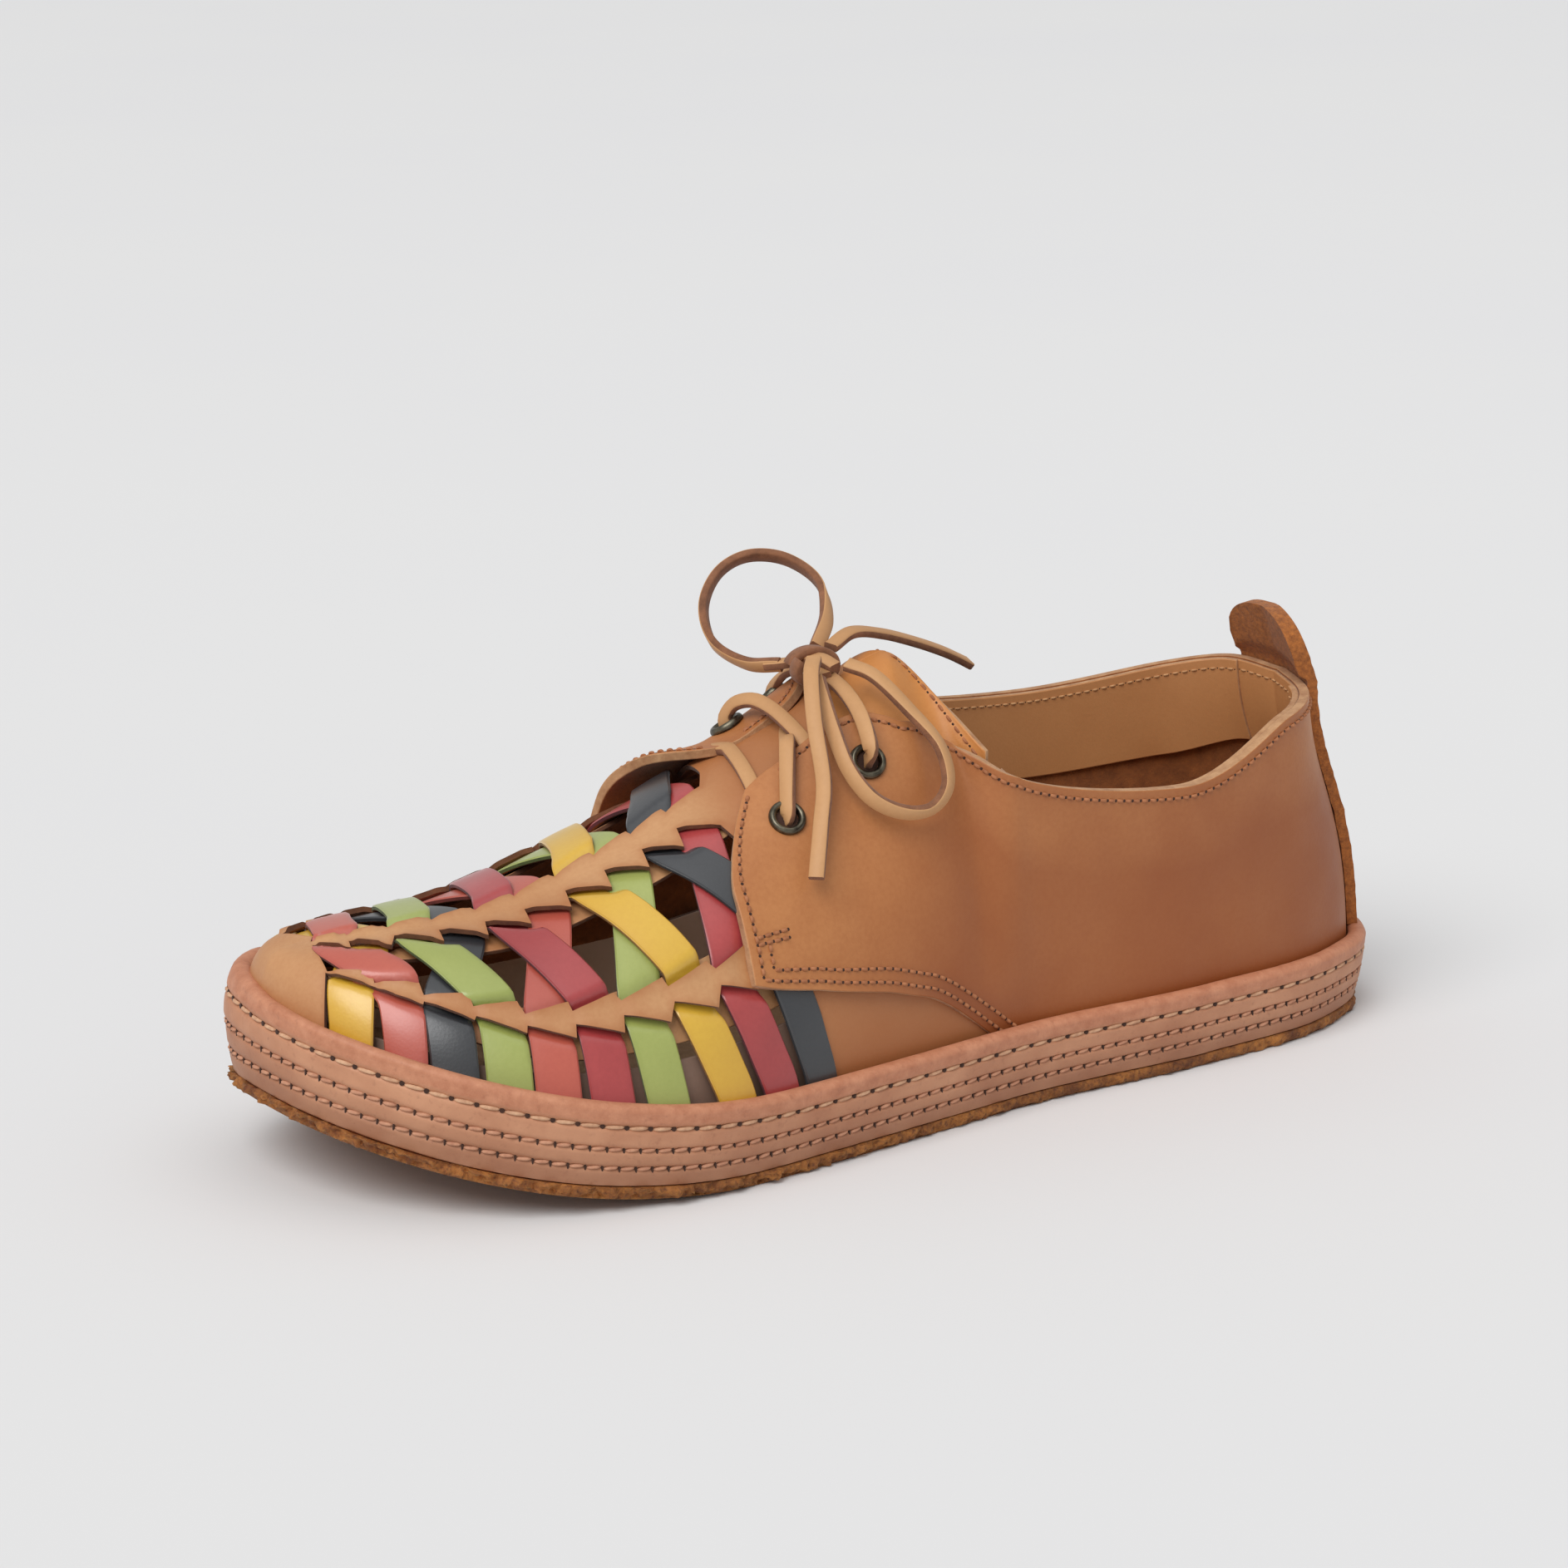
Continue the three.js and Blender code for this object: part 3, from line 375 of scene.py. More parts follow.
THREAD_LOOK = Group(
    patches=(0.3, 0.7, 700, 4), relief=(2600, 4), bump=(0.6, 0.12), gloss=500, rough=(0.65, 0.85),
)
FLOOR_LOOK = Group(
    patches=(0.3, 0.7, 3), relief=(600,), bump=(0.02, 0.05), gloss=40, rough=(0.85, 0.95),
)

# Meshes: small steps, angles of sharp edges, widths of softened ones, grid sizes and the stitches' shape
TINY = 1e-3
ZERO = 1e-12
RIDGE_V = 0.995
OUTLINE_STEPS = 4000
SEED_STEP = np.array([17.3, 5.1, 9.7])
SHARP = {"sheet": 40, "lace": 50, "metal": 50, "thread": 60, "sole": 60, "wall": 70}
SOFT = {"quarter": 0.5, "vamp": 0.25, "facing": 0.3, "tongue": 0.4, "lining": 0.3, "stay": 0.8}
SOFT_ANGLE = 50
QUARTER_GRID = (181, 49)
ROW_STEPS = Group(collar=500, front=200, arc=300, tack=60, tongue=160, lining=300, sidewall=900)
MARGIN_GRID = (120, 6)
FACING_GRID = (120, 10)
TONGUE_GRID = (30, 22, 24)
LINING_GRID = (90, 16)
STAY_GRID = (71, 29)
WALL_GRID = (420, 58)
CREPE_TURNS = 1000
FOOTBED_TURNS = 240
HEM_STEPS = 200
CAPSULE = Group(rings=7, sides=6, blunt=4, dip=3, tip=0.06, look=0.4)
DIMPLE = Group(sides=8, depth=0.4, brow=0.3)


def clamp(t):
    return np.clip(t, 0, 1)


def smooth(a, b, x):
    t = clamp((np.asarray(x, float) - a) / (b - a))
    return t * t * (3 - 2 * t)


def lerp(a, b, t):
    return a + (b - a) * t


def unit(a):
    return a / np.maximum(np.linalg.norm(a, axis=-1, keepdims=True), ZERO)


def run(line):
    """Length along a line up to each of its points."""
    return np.concatenate([[0], np.cumsum(np.linalg.norm(np.diff(line, axis=0), axis=1))])


def along_line(at, length, line):
    return np.stack([np.interp(at, length, line[:, k]) for k in range(line.shape[1])], -1)


def monotone(knots, values, at):
    """Cubic through the values that never overshoots them."""
    x = np.clip(at, knots[0], knots[-1])
    i = np.clip(np.searchsorted(knots, x) - 1, 0, len(knots) - 2)
    gap = np.diff(knots)
    chord = np.diff(values) / gap
    before, after = chord[:-1], chord[1:]
    same = before * after > 0
    inner = np.where(same, 2 * before * after / np.where(same, before + after, 1), 0)
    slope = np.concatenate([chord[:1], inner, chord[-1:]])
    h = gap[i]
    t = (x - knots[i]) / h
    s = 1 - t
    return (
        values[i] * (1 + 2 * t) * s * s
        + slope[i] * h * t * s * s
        + values[i + 1] * t * t * (3 - 2 * t)
        - slope[i + 1] * h * t * t * s
    )


# Shape of the shoe
STATIONS = np.arange(LAST + 1.0)
LOOP = np.concatenate([SECTIONS[:, [0, 1]], SECTIONS[-2:0:-1][:, [0, 2]]])
TURN = len(LOOP)


def section(name, station):
    return monotone(STATIONS, COLUMN[name], station)


def along(x):
    return np.maximum(0, (x - SPRING_START) / (TOE_X - SPRING_START))


def sole_rise(x):
    return TOE_SPRING * along(x) ** SPRING_POWER


def edge_rise(x):
    return TOE_LIFT * along(x) ** LIFT_POWER


def outline_point(u):
    i = np.floor(u).astype(int)
    t = (u - i)[..., None]
    s = 1 - t
    a, b, c, d = (LOOP[(i + k) % TURN] for k in (-1, 0, 1, 2))
    ab, bc, cd = (np.linalg.norm(q - p, axis=-1, keepdims=True) for p, q in ((a, b), (b, c), (c, d)))
    tb = ((b - a) * bc / ab + (c - b) * ab / bc) * bc / (ab + bc)
    tc = ((c - b) * cd / bc + (d - c) * bc / cd) * bc / (bc + cd)
    return b * (1 + 2 * t) * s * s + tb * t * s * s + c * t * t * (3 - 2 * t) - tc * t * t * s


def outline(u, inset):
    t = outline_point(u + TINY) - outline_point(u - TINY)
    t = t / np.linalg.norm(t, axis=-1, keepdims=True)
    p = outline_point(u)
    return np.stack([p[..., 0] + t[..., 1] * inset, p[..., 1] - t[..., 0] * inset + OUTLINE_SHIFT], -1)


def outward_at(turns, up=0.0):
    """Directions out of the outline, with a rise if one is given."""
    away = outline(turns, 0) - outline(turns, 1)
    return np.concatenate([away, np.full((len(turns), 1), up)], 1)


def ridge_slope(station):
    dz = section("lat_z", station + TINY) - section("lat_z", station - TINY)
    dx = section("top_x", station + TINY) - section("top_x", station - TINY)
    safe = np.where(np.abs(dx) < ZERO, 1, dx)
    return np.where(station <= TIP, 0, dz / safe)


def foot(u, v):
    """The foot's surface at turn u round the outline and part v of the section's height."""
    u, v = np.broadcast_arrays(np.asarray(u, float), np.asarray(v, float))
    turn = u % TURN
    lateral = turn <= LAST
    station = np.where(lateral, turn, TURN - turn)
    plan = outline(turn, FOOT_INSET - TOE_FULL.reach * smooth(TOE_FULL.heel, TOE_FULL.toe, station))
    low = np.stack([plan[..., 0], plan[..., 1], UPPER_FOOT + edge_rise(plan[..., 0])], -1)
    top_y = np.where(lateral, section("top_lat", station), section("top_med", station)) + OUTLINE_SHIFT
    top_z = np.where(lateral, section("lat_z", station), section("med_z", station))
    top = np.stack([section("top_x", station), top_y, top_z], -1)
    rise = top[..., 2] - low[..., 2]
    out = (low - top) * section("crown", station)[..., None]
    handle = low.copy()
    handle[..., 2] += section("side", station) * rise
    high_z = top[..., 2] + ridge_slope(station) * out[..., 0] - section("drop", station) * rise
    high = np.stack([top[..., 0] + out[..., 0], top[..., 1] + out[..., 1], high_z], -1)
    t = v[..., None]
    s = 1 - t
    return low * s**3 + handle * 3 * t * s * s + high * 3 * t * t * s + top * t**3


def foot_normal(u, v):
    u, v = np.broadcast_arrays(np.asarray(u, float), np.asarray(v, float))
    e = 2 * TINY
    around = foot(u + e, v) - foot(u - e, v)
    up = foot(u, np.minimum(1, v + e)) - foot(u, np.maximum(0, v - e))
    n = unit(np.cross(up, around))
    turn = u % TURN
    station = np.minimum(turn, TURN - turn)
    slope = ridge_slope(station)
    ridge = unit(np.stack([-slope, np.zeros_like(slope), np.ones_like(slope)], -1))
    on_ridge = ((v > RIDGE_V) & (station > TIP))[..., None]
    return np.where(on_ridge, ridge, n)


def skin(u, v, offset):
    return foot(u, v) + foot_normal(u, v) * np.asarray(offset, float)[..., None]


def turn_at(station, side):
    """Turn round the outline of a station on one side."""
    return station if side > 0 else TURN - station


def across_turn(station, w):
    """Turn and part of the height at w, which runs from 1 at the outer hem over the ridge to -1."""
    station, w = np.broadcast_arrays(np.asarray(station, float), np.asarray(w, float))
    return np.where(w >= 0, station, TURN - station), 1 - np.abs(w)


def across(station, w, offset):
    u, v = across_turn(station, w)
    return skin(u, v, np.broadcast_to(offset, v.shape))


def across_normal(station, w):
    return foot_normal(*across_turn(station, w))


def sole_point(u, inset, z):
    u, inset, z = np.broadcast_arrays(*(np.asarray(a, float) for a in (u, inset, z)))
    p = outline(u, inset)
    share = clamp((z - CREPE_HEIGHT) / (SIDEWALL_TOP - CREPE_HEIGHT))
    rise = lerp(sole_rise(p[..., 0]), edge_rise(p[..., 0]), share)
    return np.stack([p[..., 0], p[..., 1], z + rise], -1)


def wall_point(u, inset, z):
    """A point of the sidewall, which leans in and climbs round the toe."""
    roll = monotone(TOE_ROLL[:, 0], TOE_ROLL[:, 1], np.asarray(u, float) % TURN)
    near = np.minimum(roll, ROLL.most)
    lean = ROLL.lean * clamp((z - ROLL.low) / (SIDEWALL_TOP - ROLL.low)) ** ROLL.power
    bulge = np.interp(z, ROLL_BULGE[:, 0], ROLL_BULGE[:, 1])
    points = sole_point(u, inset + near * (lean - bulge), z)
    points[..., 2] += roll * ROLL.rise * clamp((z - ROLL.foot) / (SIDEWALL_TOP - ROLL.foot))
    return points


def even_turns(count):
    """Positions round the outline at equal distances."""
    fine = np.linspace(0, TURN, OUTLINE_STEPS + 1)
    length = run(outline_point(fine))
    return np.interp(np.linspace(0, length[-1], count, endpoint=False), length, fine)


def wobble(points, depth, scale, seed):
    """Smooth noise at each point, with features of the given depth and size."""
    shift = Vector(seed * SEED_STEP)
    values = [noise.noise(Vector(p) / scale + shift) for p in points.reshape(-1, 3)]
    return depth * np.array(values).reshape(points.shape[:-1])


# Materials
def srgb_part(c):
    """One part of a display colour, 0 to 255, as light."""
    return ((c / 255 + 0.055) / 1.055) ** 2.4 if c > 10 else c / 255 / 12.92


def tones(name):
    return [tuple(srgb_part(c) for c in color) + (1.0,) for color in COLORS[name]]


class Shader:
    """A principled material with short calls for its nodes."""

    COLOR_IN = (6, 7)  # colour sockets of a mix node
    COLOR_OUT = 2

    def __init__(self, name):
        self.material = bpy.data.materials.new(name)
        self.material.use_nodes = True
        self.tree = self.material.node_tree
        self.main = self.tree.nodes["Principled BSDF"]
        self.place = self.node("ShaderNodeTexCoord").outputs["Object"]

    def node(self, kind, **values):
        made = self.tree.nodes.new(kind)
        for key, value in values.items():
            setattr(made, key, value)
        return made

    def link(self, source, target):
        self.tree.links.new(source, target)

    def texture(self, kind, output, **values):
        made = self.node(kind)
        self.link(self.place, made.inputs["Vector"])
        for key, value in values.items():
            made.inputs[key].default_value = value
        return made.outputs[output]

    def noise(self, scale, detail=4, rough=0.55):
        return self.texture("ShaderNodeTexNoise", "Fac", Scale=scale, Detail=detail, Roughness=rough)

    def cells(self, scale):
        return self.texture("ShaderNodeTexVoronoi", "Distance", Scale=scale)

    def attribute(self, name):
        return self.node("ShaderNodeAttribute", attribute_name=name).outputs["Fac"]

    def map(self, source, side, low, high):
        made = self.node("ShaderNodeMapRange")
        self.link(source, made.inputs["Value"])
        made.inputs[f"{side} Min"].default_value = low
        made.inputs[f"{side} Max"].default_value = high
        return made.outputs["Result"]

    def patches(self, low, high, *texture):
        """Noise sharpened between two levels."""
        return self.map(self.noise(*texture), "From", low, high)

    def range(self, source, low, high):
        return self.map(source, "To", low, high)

    def mix(self, share, a, b):
        made = self.node("ShaderNodeMix", data_type="RGBA")
        self.link(share, made.inputs["Factor"])
        for value, index in zip((a, b), self.COLOR_IN):
            if isinstance(value, tuple):
                made.inputs[index].default_value = value
            else:
                self.link(value, made.inputs[index])
        return made.outputs[self.COLOR_OUT]

    def bump(self, height, strength, depth, before=None):
        made = self.node("ShaderNodeBump")
        made.inputs["Strength"].default_value = strength
        made.inputs["Distance"].default_value = depth * MM
        self.link(height, made.inputs["Height"])
        if before is not None:
            self.link(before, made.inputs["Normal"])
        return made.outputs["Normal"]

    def finish(self, color, rough, normal, **sockets):
        self.link(color, self.main.inputs["Base Color"])
        self.link(rough, self.main.inputs["Roughness"])
        self.link(normal, self.main.inputs["Normal"])
        for key, value in sockets.items():
            self.main.inputs[key.replace("_", " ")].default_value = value
        return self.material


def leather(name, rough=(0.42, 0.6), grain=0.18, creases=0.1, polish=0.0):
    m = Shader(name)
    look = LEATHER
    light, dark = tones(name)
    color = m.mix(m.range(m.patches(*look.clouds), 0, look.cloud_share), light, dark)
    color = m.mix(m.range(m.patches(*look.pores), 0, look.pore_share), color, dark)
    # Darker where the attribute says: wear on most pieces, painted shade and painted highlight on the
    # quarters
    color = m.mix(m.range(m.attribute("wear"), 0, look.wear_share), color, dark)
    fine = m.bump(m.cells(look.grain), grain, look.grain_depth)
    folds = m.bump(m.noise(*look.folds), creases, look.fold_depth, fine)
    gloss = m.range(m.noise(*look.gloss), *rough)
    return m.finish(color, gloss, folds, Coat_Weight=polish, Coat_Roughness=look.coat_rough)


def suede(name, nap=0.7, scale=240):
    m = Shader(name)
    look = SUEDE
    light, dark = tones(name)
    color = m.mix(m.patches(*look.levels, scale, *look.detail), dark, light)
    hair = m.bump(m.noise(*look.hair), nap, look.hair_depth)
    lumps = m.bump(m.noise(*look.lumps), *look.lump_bump, hair)
    gloss = m.range(m.noise(look.gloss), *look.rough)
    return m.finish(color, gloss, lumps, Sheen_Weight=look.sheen, Sheen_Roughness=look.sheen_rough)


def crepe_rubber():
    m = Shader("crepe")
    look = CREPE_LOOK
    dark, light, pits = tones("crepe")
    color = m.mix(m.patches(*look.patches), dark, light)
    color = m.mix(m.patches(*look.pits), color, pits)
    normal = m.bump(m.noise(*look.relief), *look.bump)
    gloss = m.range(m.noise(look.gloss), *look.rough)
    return m.finish(color, gloss, normal, Subsurface_Weight=look.glow)


def foxing_leather():
    m = Shader("foxing")
    look = FOXING_LOOK
    soil, dirt = tones("foxing_stains")
    color = m.mix(m.patches(*look.patches), *tones("foxing"))
    burnt = m.mix(m.patches(*look.burnt), *tones("foxing_burnt"))
    color = m.mix(m.attribute("burnish"), color, burnt)
    color = m.mix(m.range(m.attribute("soil"), 0, look.soil_share), color, soil)
    color = m.mix(m.range(m.patches(*look.dirt), 0, look.dirt_share), color, dirt)
    fine = m.bump(m.noise(*look.grain), *look.grain_bump)
    dents = m.bump(m.noise(*look.dents), *look.dent_bump, fine)
    return m.finish(color, m.range(m.noise(look.gloss), *look.rough), dents)


def plain(name, look, **sockets):
    """A patchy surface with one relief."""
    m = Shader(name)
    color = m.mix(m.patches(*look.patches), *tones(name))
    normal = m.bump(m.noise(*look.relief), *look.bump)
    return m.finish(color, m.range(m.noise(look.gloss), *look.rough), normal, **sockets)


TAN = leather("tan_leather")
TAN_RICH = leather("quarter_leather")
TONGUE_TAN = leather("tongue_leather")
TAN_EDGE = suede("cut_edge", nap=0.5)
RAW_EDGE = suede("raw_edge", nap=0.4)
TAUPE = leather("inner_facing", rough=(0.6, 0.8), grain=0.1, creases=0.05)
# Painted light: the inner facing made brighter for its face inside the shoe
TAUPE_PAINTED_LIGHT = leather("inner_facing_painted_light", rough=(0.6, 0.8), grain=0.1, creases=0.05)
TAB_SUEDE = suede("tab_suede", nap=0.9, scale=900)
FLESH = suede("flesh_side")
LINING = leather("collar_lining", rough=(0.5, 0.68), grain=0.15, creases=0.08)
STRAP_TONES = ("yellow", "coral", "charcoal", "green", "crimson")
STRAP_LEATHER = {tone: leather(f"strap_{tone}", rough=(0.3, 0.46), polish=0.8) for tone in STRAP_TONES}
STRAP_EDGE = {tone: suede(f"edge_{tone}", nap=0.3) for tone in STRAP_TONES}
FOXING = foxing_leather()
CREPE = crepe_rubber()
INSOLE_SUEDE = suede("insole_leather", nap=0.4)
METAL = plain("eyelet_metal", METAL_LOOK, Metallic=0.95)
LACE_GRAIN = leather("lace_grain", rough=(0.5, 0.7), grain=0.12, creases=0.15)
LACE_FLESH = suede("lace_flesh", nap=0.5)
THREAD_BROWN = plain("thread_brown", THREAD_LOOK)
THREAD_LINING = plain("thread_lining", THREAD_LOOK)
THREAD_PALE = plain("thread_pale", THREAD_LOOK)
THREAD_FOXING = plain("thread_foxing", THREAD_LOOK)
# Painted shade for holes
HOLE_SHADE = suede("hole_shade", nap=0.2)

# Kinds of stitch row. A stitch is its length, radius, rise and sink; a hole is its length, width and height.
SEAM = Group(pitch=2.3, stitch=(1.9, 0.42, 0.26, 0.25), hole=(0.7, 0.75, 0.12), thread=THREAD_BROWN, slant=0)
TONGUE_SEAM = Group(
    pitch=3.1, stitch=(2.2, 0.34, 0.2, 0.25), hole=(0.7, 0.6, 0.1), thread=THREAD_BROWN, slant=0,
)
LINING_SEAM = Group(
    pitch=2.3, stitch=(1.7, 0.27, 0.13, 0.2), hole=(0.35, 0.35, 0.06), thread=THREAD_LINING, slant=0,
)
BEAD_SEAM = Group(
    pitch=5.4, stitch=(4.6, 0.44, 0.1, 0.3), hole=(1.1, 1.1, 0.2), thread=THREAD_PALE, slant=0.07,
)
WALL_SEAM = Group(
    pitch=3.75, stitch=(3.3, 0.42, 0.1, 0.2), hole=(0.5, 1.9, 0.22), thread=THREAD_FOXING,
    slant=0.14,
)


# Meshes
def outward(points, faces):
    tris = np.concatenate([faces[:, [0, 1, 2]], faces[:, [0, 2, 3]]]) if faces.shape[1] == 4 else faces
    a, b, c = (points[tris[:, k]] for k in range(3))
    volume = np.einsum("ij,ij->i", a, np.cross(b, c)).sum()
    return faces if volume > 0 else faces[:, ::-1]


def make(name, points, faces, materials, sharp, slots=None, attributes=None):
    mesh = bpy.data.meshes.new(name)
    mesh.from_pydata((np.asarray(points, float) * MM).tolist(), [], [list(map(int, f)) for f in faces])
    for material in materials:
        mesh.materials.append(material)
    if slots is not None:
        mesh.polygons.foreach_set("material_index", np.asarray(slots, np.int32))
    mesh.polygons.foreach_set("use_smooth", np.ones(len(mesh.polygons), bool))
    for key, values in (attributes or {}).items():
        layer = mesh.attributes.new(key, "FLOAT", "POINT")
        layer.data.foreach_set("value", np.asarray(values, np.float32).ravel())
    mesh.set_sharp_from_angle(angle=math.radians(SHARP[sharp]))
    mesh.update()
    obj = bpy.data.objects.new(name, mesh)
    bpy.context.scene.collection.objects.link(obj)
    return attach(obj, "root")


def stand_for(obj, node):
    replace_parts(obj, node)


def soften(obj, kind, segments=2):
    bevel = obj.modifiers.new("soft_edges", "BEVEL")
    bevel.width = SOFT[kind] * MM
    bevel.segments = segments
    bevel.limit_method = "ANGLE"
    bevel.angle_limit = math.radians(SOFT_ANGLE)
    bevel.harden_normals = False
    return obj


def grid_faces(n, m, start=0):
    i, j = np.meshgrid(np.arange(n - 1), np.arange(m - 1), indexing="ij")
    a = (start + i * m + j).ravel()
    return np.stack([a, a + m, a + m + 1, a + 1], -1)


def border(n, m):
    index = np.arange(n * m).reshape(n, m)
    return np.concatenate([index[0], index[1:, -1], index[-1, -2::-1], index[-2:0:-1, 0]])


def shell(name, outer, inner, materials, wear=None):
    """A closed sheet between two grids: face, cut edge and back each have their own material."""
    n, m = outer.shape[:2]
    count = n * m
    points = np.concatenate([outer.reshape(-1, 3), inner.reshape(-1, 3)])
    face = grid_faces(n, m)
    back = grid_faces(n, m, count)[:, ::-1]
    loop = border(n, m)
    follow = np.roll(loop, -1)
    rim = np.stack([loop, follow, follow + count, loop + count], -1)
    faces = outward(points, np.concatenate([face, rim, back]))
    slots = np.repeat([0, 1, 2], [len(face), len(rim), len(back)])
    # Darkening by point: wear, and on the quarters painted shade and painted highlight
    tone = np.zeros(count) if wear is None else wear.ravel()
    return make(name, points, faces, materials, "sheet", slots, {"wear": np.concatenate([tone, tone])})


def ring_faces(n, m):
    """Faces of a loop of n closed profiles of m points."""
    i, j = np.meshgrid(np.arange(n), np.arange(m), indexing="ij")
    a = (i * m + j).ravel()
    b = (((i + 1) % n) * m + j).ravel()
    c = (((i + 1) % n) * m + (j + 1) % m).ravel()
    d = (i * m + (j + 1) % m).ravel()
    return np.stack([a, b, c, d], -1)


def slab_faces(n, m):
    """Faces of a loop of n profiles of m points, closed across from one side to the other."""
    i, j = np.meshgrid(np.arange(n), np.arange(m - 1), indexing="ij")
    a, b = (i * m + j).ravel(), (((i + 1) % n) * m + j).ravel()
    walls = np.stack([a, b, b + 1, a + 1], -1)
    half = np.arange(n // 2)
    left, right = half, (-half) % n
    left2, right2 = half + 1, (-half - 1) % n
    low = np.stack([left, right, right2, left2], -1) * m
    high = np.stack([left, left2, right2, right], -1) * m + m - 1
    return np.concatenate([walls, low, high])


def clean_quads(faces):
    """Quads as lists, with repeated corners dropped."""
    out = []
    for f in faces.tolist():
        kept = [v for k, v in enumerate(f) if v != f[k - 1]]
        if len(set(kept)) == len(kept) and len(kept) > 2:
            out.append(kept)
    return out


def slab(name, points, material, node):
    flat = points.reshape(-1, 3)
    faces = outward(flat, slab_faces(*points.shape[:2]))
    stand_for(make(name, flat, clean_quads(faces), [material], "sole"), node)


# Stitches
def stamp(name, template, faces, places, frames, material):
    """Copies of one small shape at many places, as one mesh."""
    points = np.einsum("tk,nkc->ntc", template, frames) + places[:, None, :]
    index = faces[None, :, :] + (np.arange(len(places)) * len(template))[:, None, None]
    make(name, points.reshape(-1, 3), index.reshape(-1, faces.shape[1]), [material], "thread")


def circle(sides):
    return np.linspace(0, 2 * np.pi, sides, endpoint=False)


def capsule(length, radius, lift, sink):
    """A stitch that rises out of the leather and dips back, along x, up along z."""
    rings, sides = CAPSULE.rings, CAPSULE.sides
    x = np.linspace(-0.5, 0.5, rings)
    swell = np.sqrt(np.maximum(1 - (2 * np.abs(x)) ** CAPSULE.blunt, CAPSULE.tip))
    height = lift * (1 - (2 * x) ** 2) - sink * (2 * np.abs(x)) ** CAPSULE.dip
    angle = circle(sides)
    body = np.stack([
        np.repeat(x * length, sides),
        (swell[:, None] * np.cos(angle) * radius).ravel(),
        (height[:, None] + swell[:, None] * np.sin(angle) * radius).ravel(),
    ], -1)
    ends = np.array([[-0.5 * length, 0, -sink], [0.5 * length, 0, -sink]])
    first, last, top = rings * sides, rings * sides + 1, (rings - 1) * sides
    faces = []
    for k in range(sides):
        n = (k + 1) % sides
        faces += [[first, n, k], [last, top + k, top + n]]
        for r in range(0, top, sides):
            faces += [[r + k, r + n, r + n + sides], [r + k, r + n + sides, r + k + sides]]
    return np.concatenate([body, ends]), np.array(faces)


def dimple(length, width, height):
    """A low dark dome that marks a needle hole: painted shade of the hole."""
    sides, depth = DIMPLE.sides, DIMPLE.depth
    x, y = np.cos(circle(sides)) * length / 2, np.sin(circle(sides)) * width / 2
    low = np.stack([x, y, np.full(sides, -depth)], -1)
    mid = np.stack([x, y, np.full(sides, height * DIMPLE.brow)], -1)
    tops = np.array([[0, 0, height], [0, 0, -depth]])
    faces = []
    for k in range(sides):
        n = (k + 1) % sides
        faces += [[k, n, sides + n], [k, sides + n, sides + k]]
        faces += [[sides + k, sides + n, 2 * sides], [n, k, 2 * sides + 1]]
    return np.concatenate([low, mid, tops]), np.array(faces)


def sew(name, path, normals, kind, closed=False):
    """A row of stitches and needle holes along a path on a surface."""
    line = np.concatenate([path, path[:1]]) if closed else path
    lines = np.concatenate([normals, normals[:1]]) if closed else normals
    length = run(line)
    count = max(2, int(round(length[-1] / kind.pitch)))
    at = (np.arange(count) + 0.5) * length[-1] / count
    pricks = at - length[-1] / count / 2
    slant = kind.slant

    def frames(spots):
        ahead = along_line(spots + CAPSULE.look, length, line)
        behind = along_line(spots - CAPSULE.look, length, line)
        t = unit(ahead - behind)
        n = unit(along_line(spots, length, lines))
        t = unit(t - n * np.einsum("ij,ij->i", t, n)[:, None])
        turned = unit(t * math.cos(slant) + np.cross(n, t) * math.sin(slant))
        return np.stack([turned, np.cross(n, turned), n], 1)

    stitches = along_line(at, length, line)
    stamp(f"{name}_thread", *capsule(*kind.stitch), stitches, frames(at), kind.thread)
    holes = along_line(pricks, length, line)
    stamp(f"{name}_holes", *dimple(*kind.hole), holes, frames(pricks), HOLE_SHADE)


# Camera
def set_camera():
    a, e = math.radians(CAMERA.azimuth), math.radians(CAMERA.elevation)
    back = Vector((math.sin(a) * math.cos(e), -math.cos(a) * math.cos(e), math.sin(e)))
    camera = bpy.data.objects.new("camera", bpy.data.cameras.new("camera"))
    camera.data.lens = CAMERA.lens
    camera.data.sensor_width = CAMERA.sensor
    camera.data.clip_end = CAMERA.clip
    camera.location = (Vector(CAMERA.target) + back * CAMERA.distance) * MM
    camera.rotation_euler = (-back).to_track_quat("-Z", "Y").to_euler()
    bpy.context.scene.collection.objects.link(camera)
    bpy.context.scene.camera = camera


# Laces
def spline(points):
    """Smooth line through the points, evenly sampled."""
    p = np.array(points, float)
    padded = np.concatenate([[2 * p[0] - p[1]], p, [2 * p[-1] - p[-2]]])
    t = np.linspace(0, 1, THONG.steps, endpoint=False)[:, None]
    spans = []
    for a, b, c, d in zip(padded, padded[1:], padded[2:], padded[3:]):
        bend = (2 * a - 5 * b + 4 * c - d) * t**2
        twist = (3 * b - a - 3 * c + d) * t**3
        spans.append(0.5 * (2 * b + (c - a) * t + bend + twist))
    line = np.concatenate(spans + [p[-1:]])
    length = run(line)
    count = max(THONG.fewest, int(round(length[-1] / THONG.spacing)))
    return along_line(np.linspace(0, length[-1], count + 1), length, line)


def thong_section():
    w, t, r = THONG.width / 2, THONG.thick / 2, THONG.round
    half = np.array([(-w, t - r), (-w + r, t), (0, t), (w - r, t), (w, t - r)])
    return np.concatenate([half, -half])


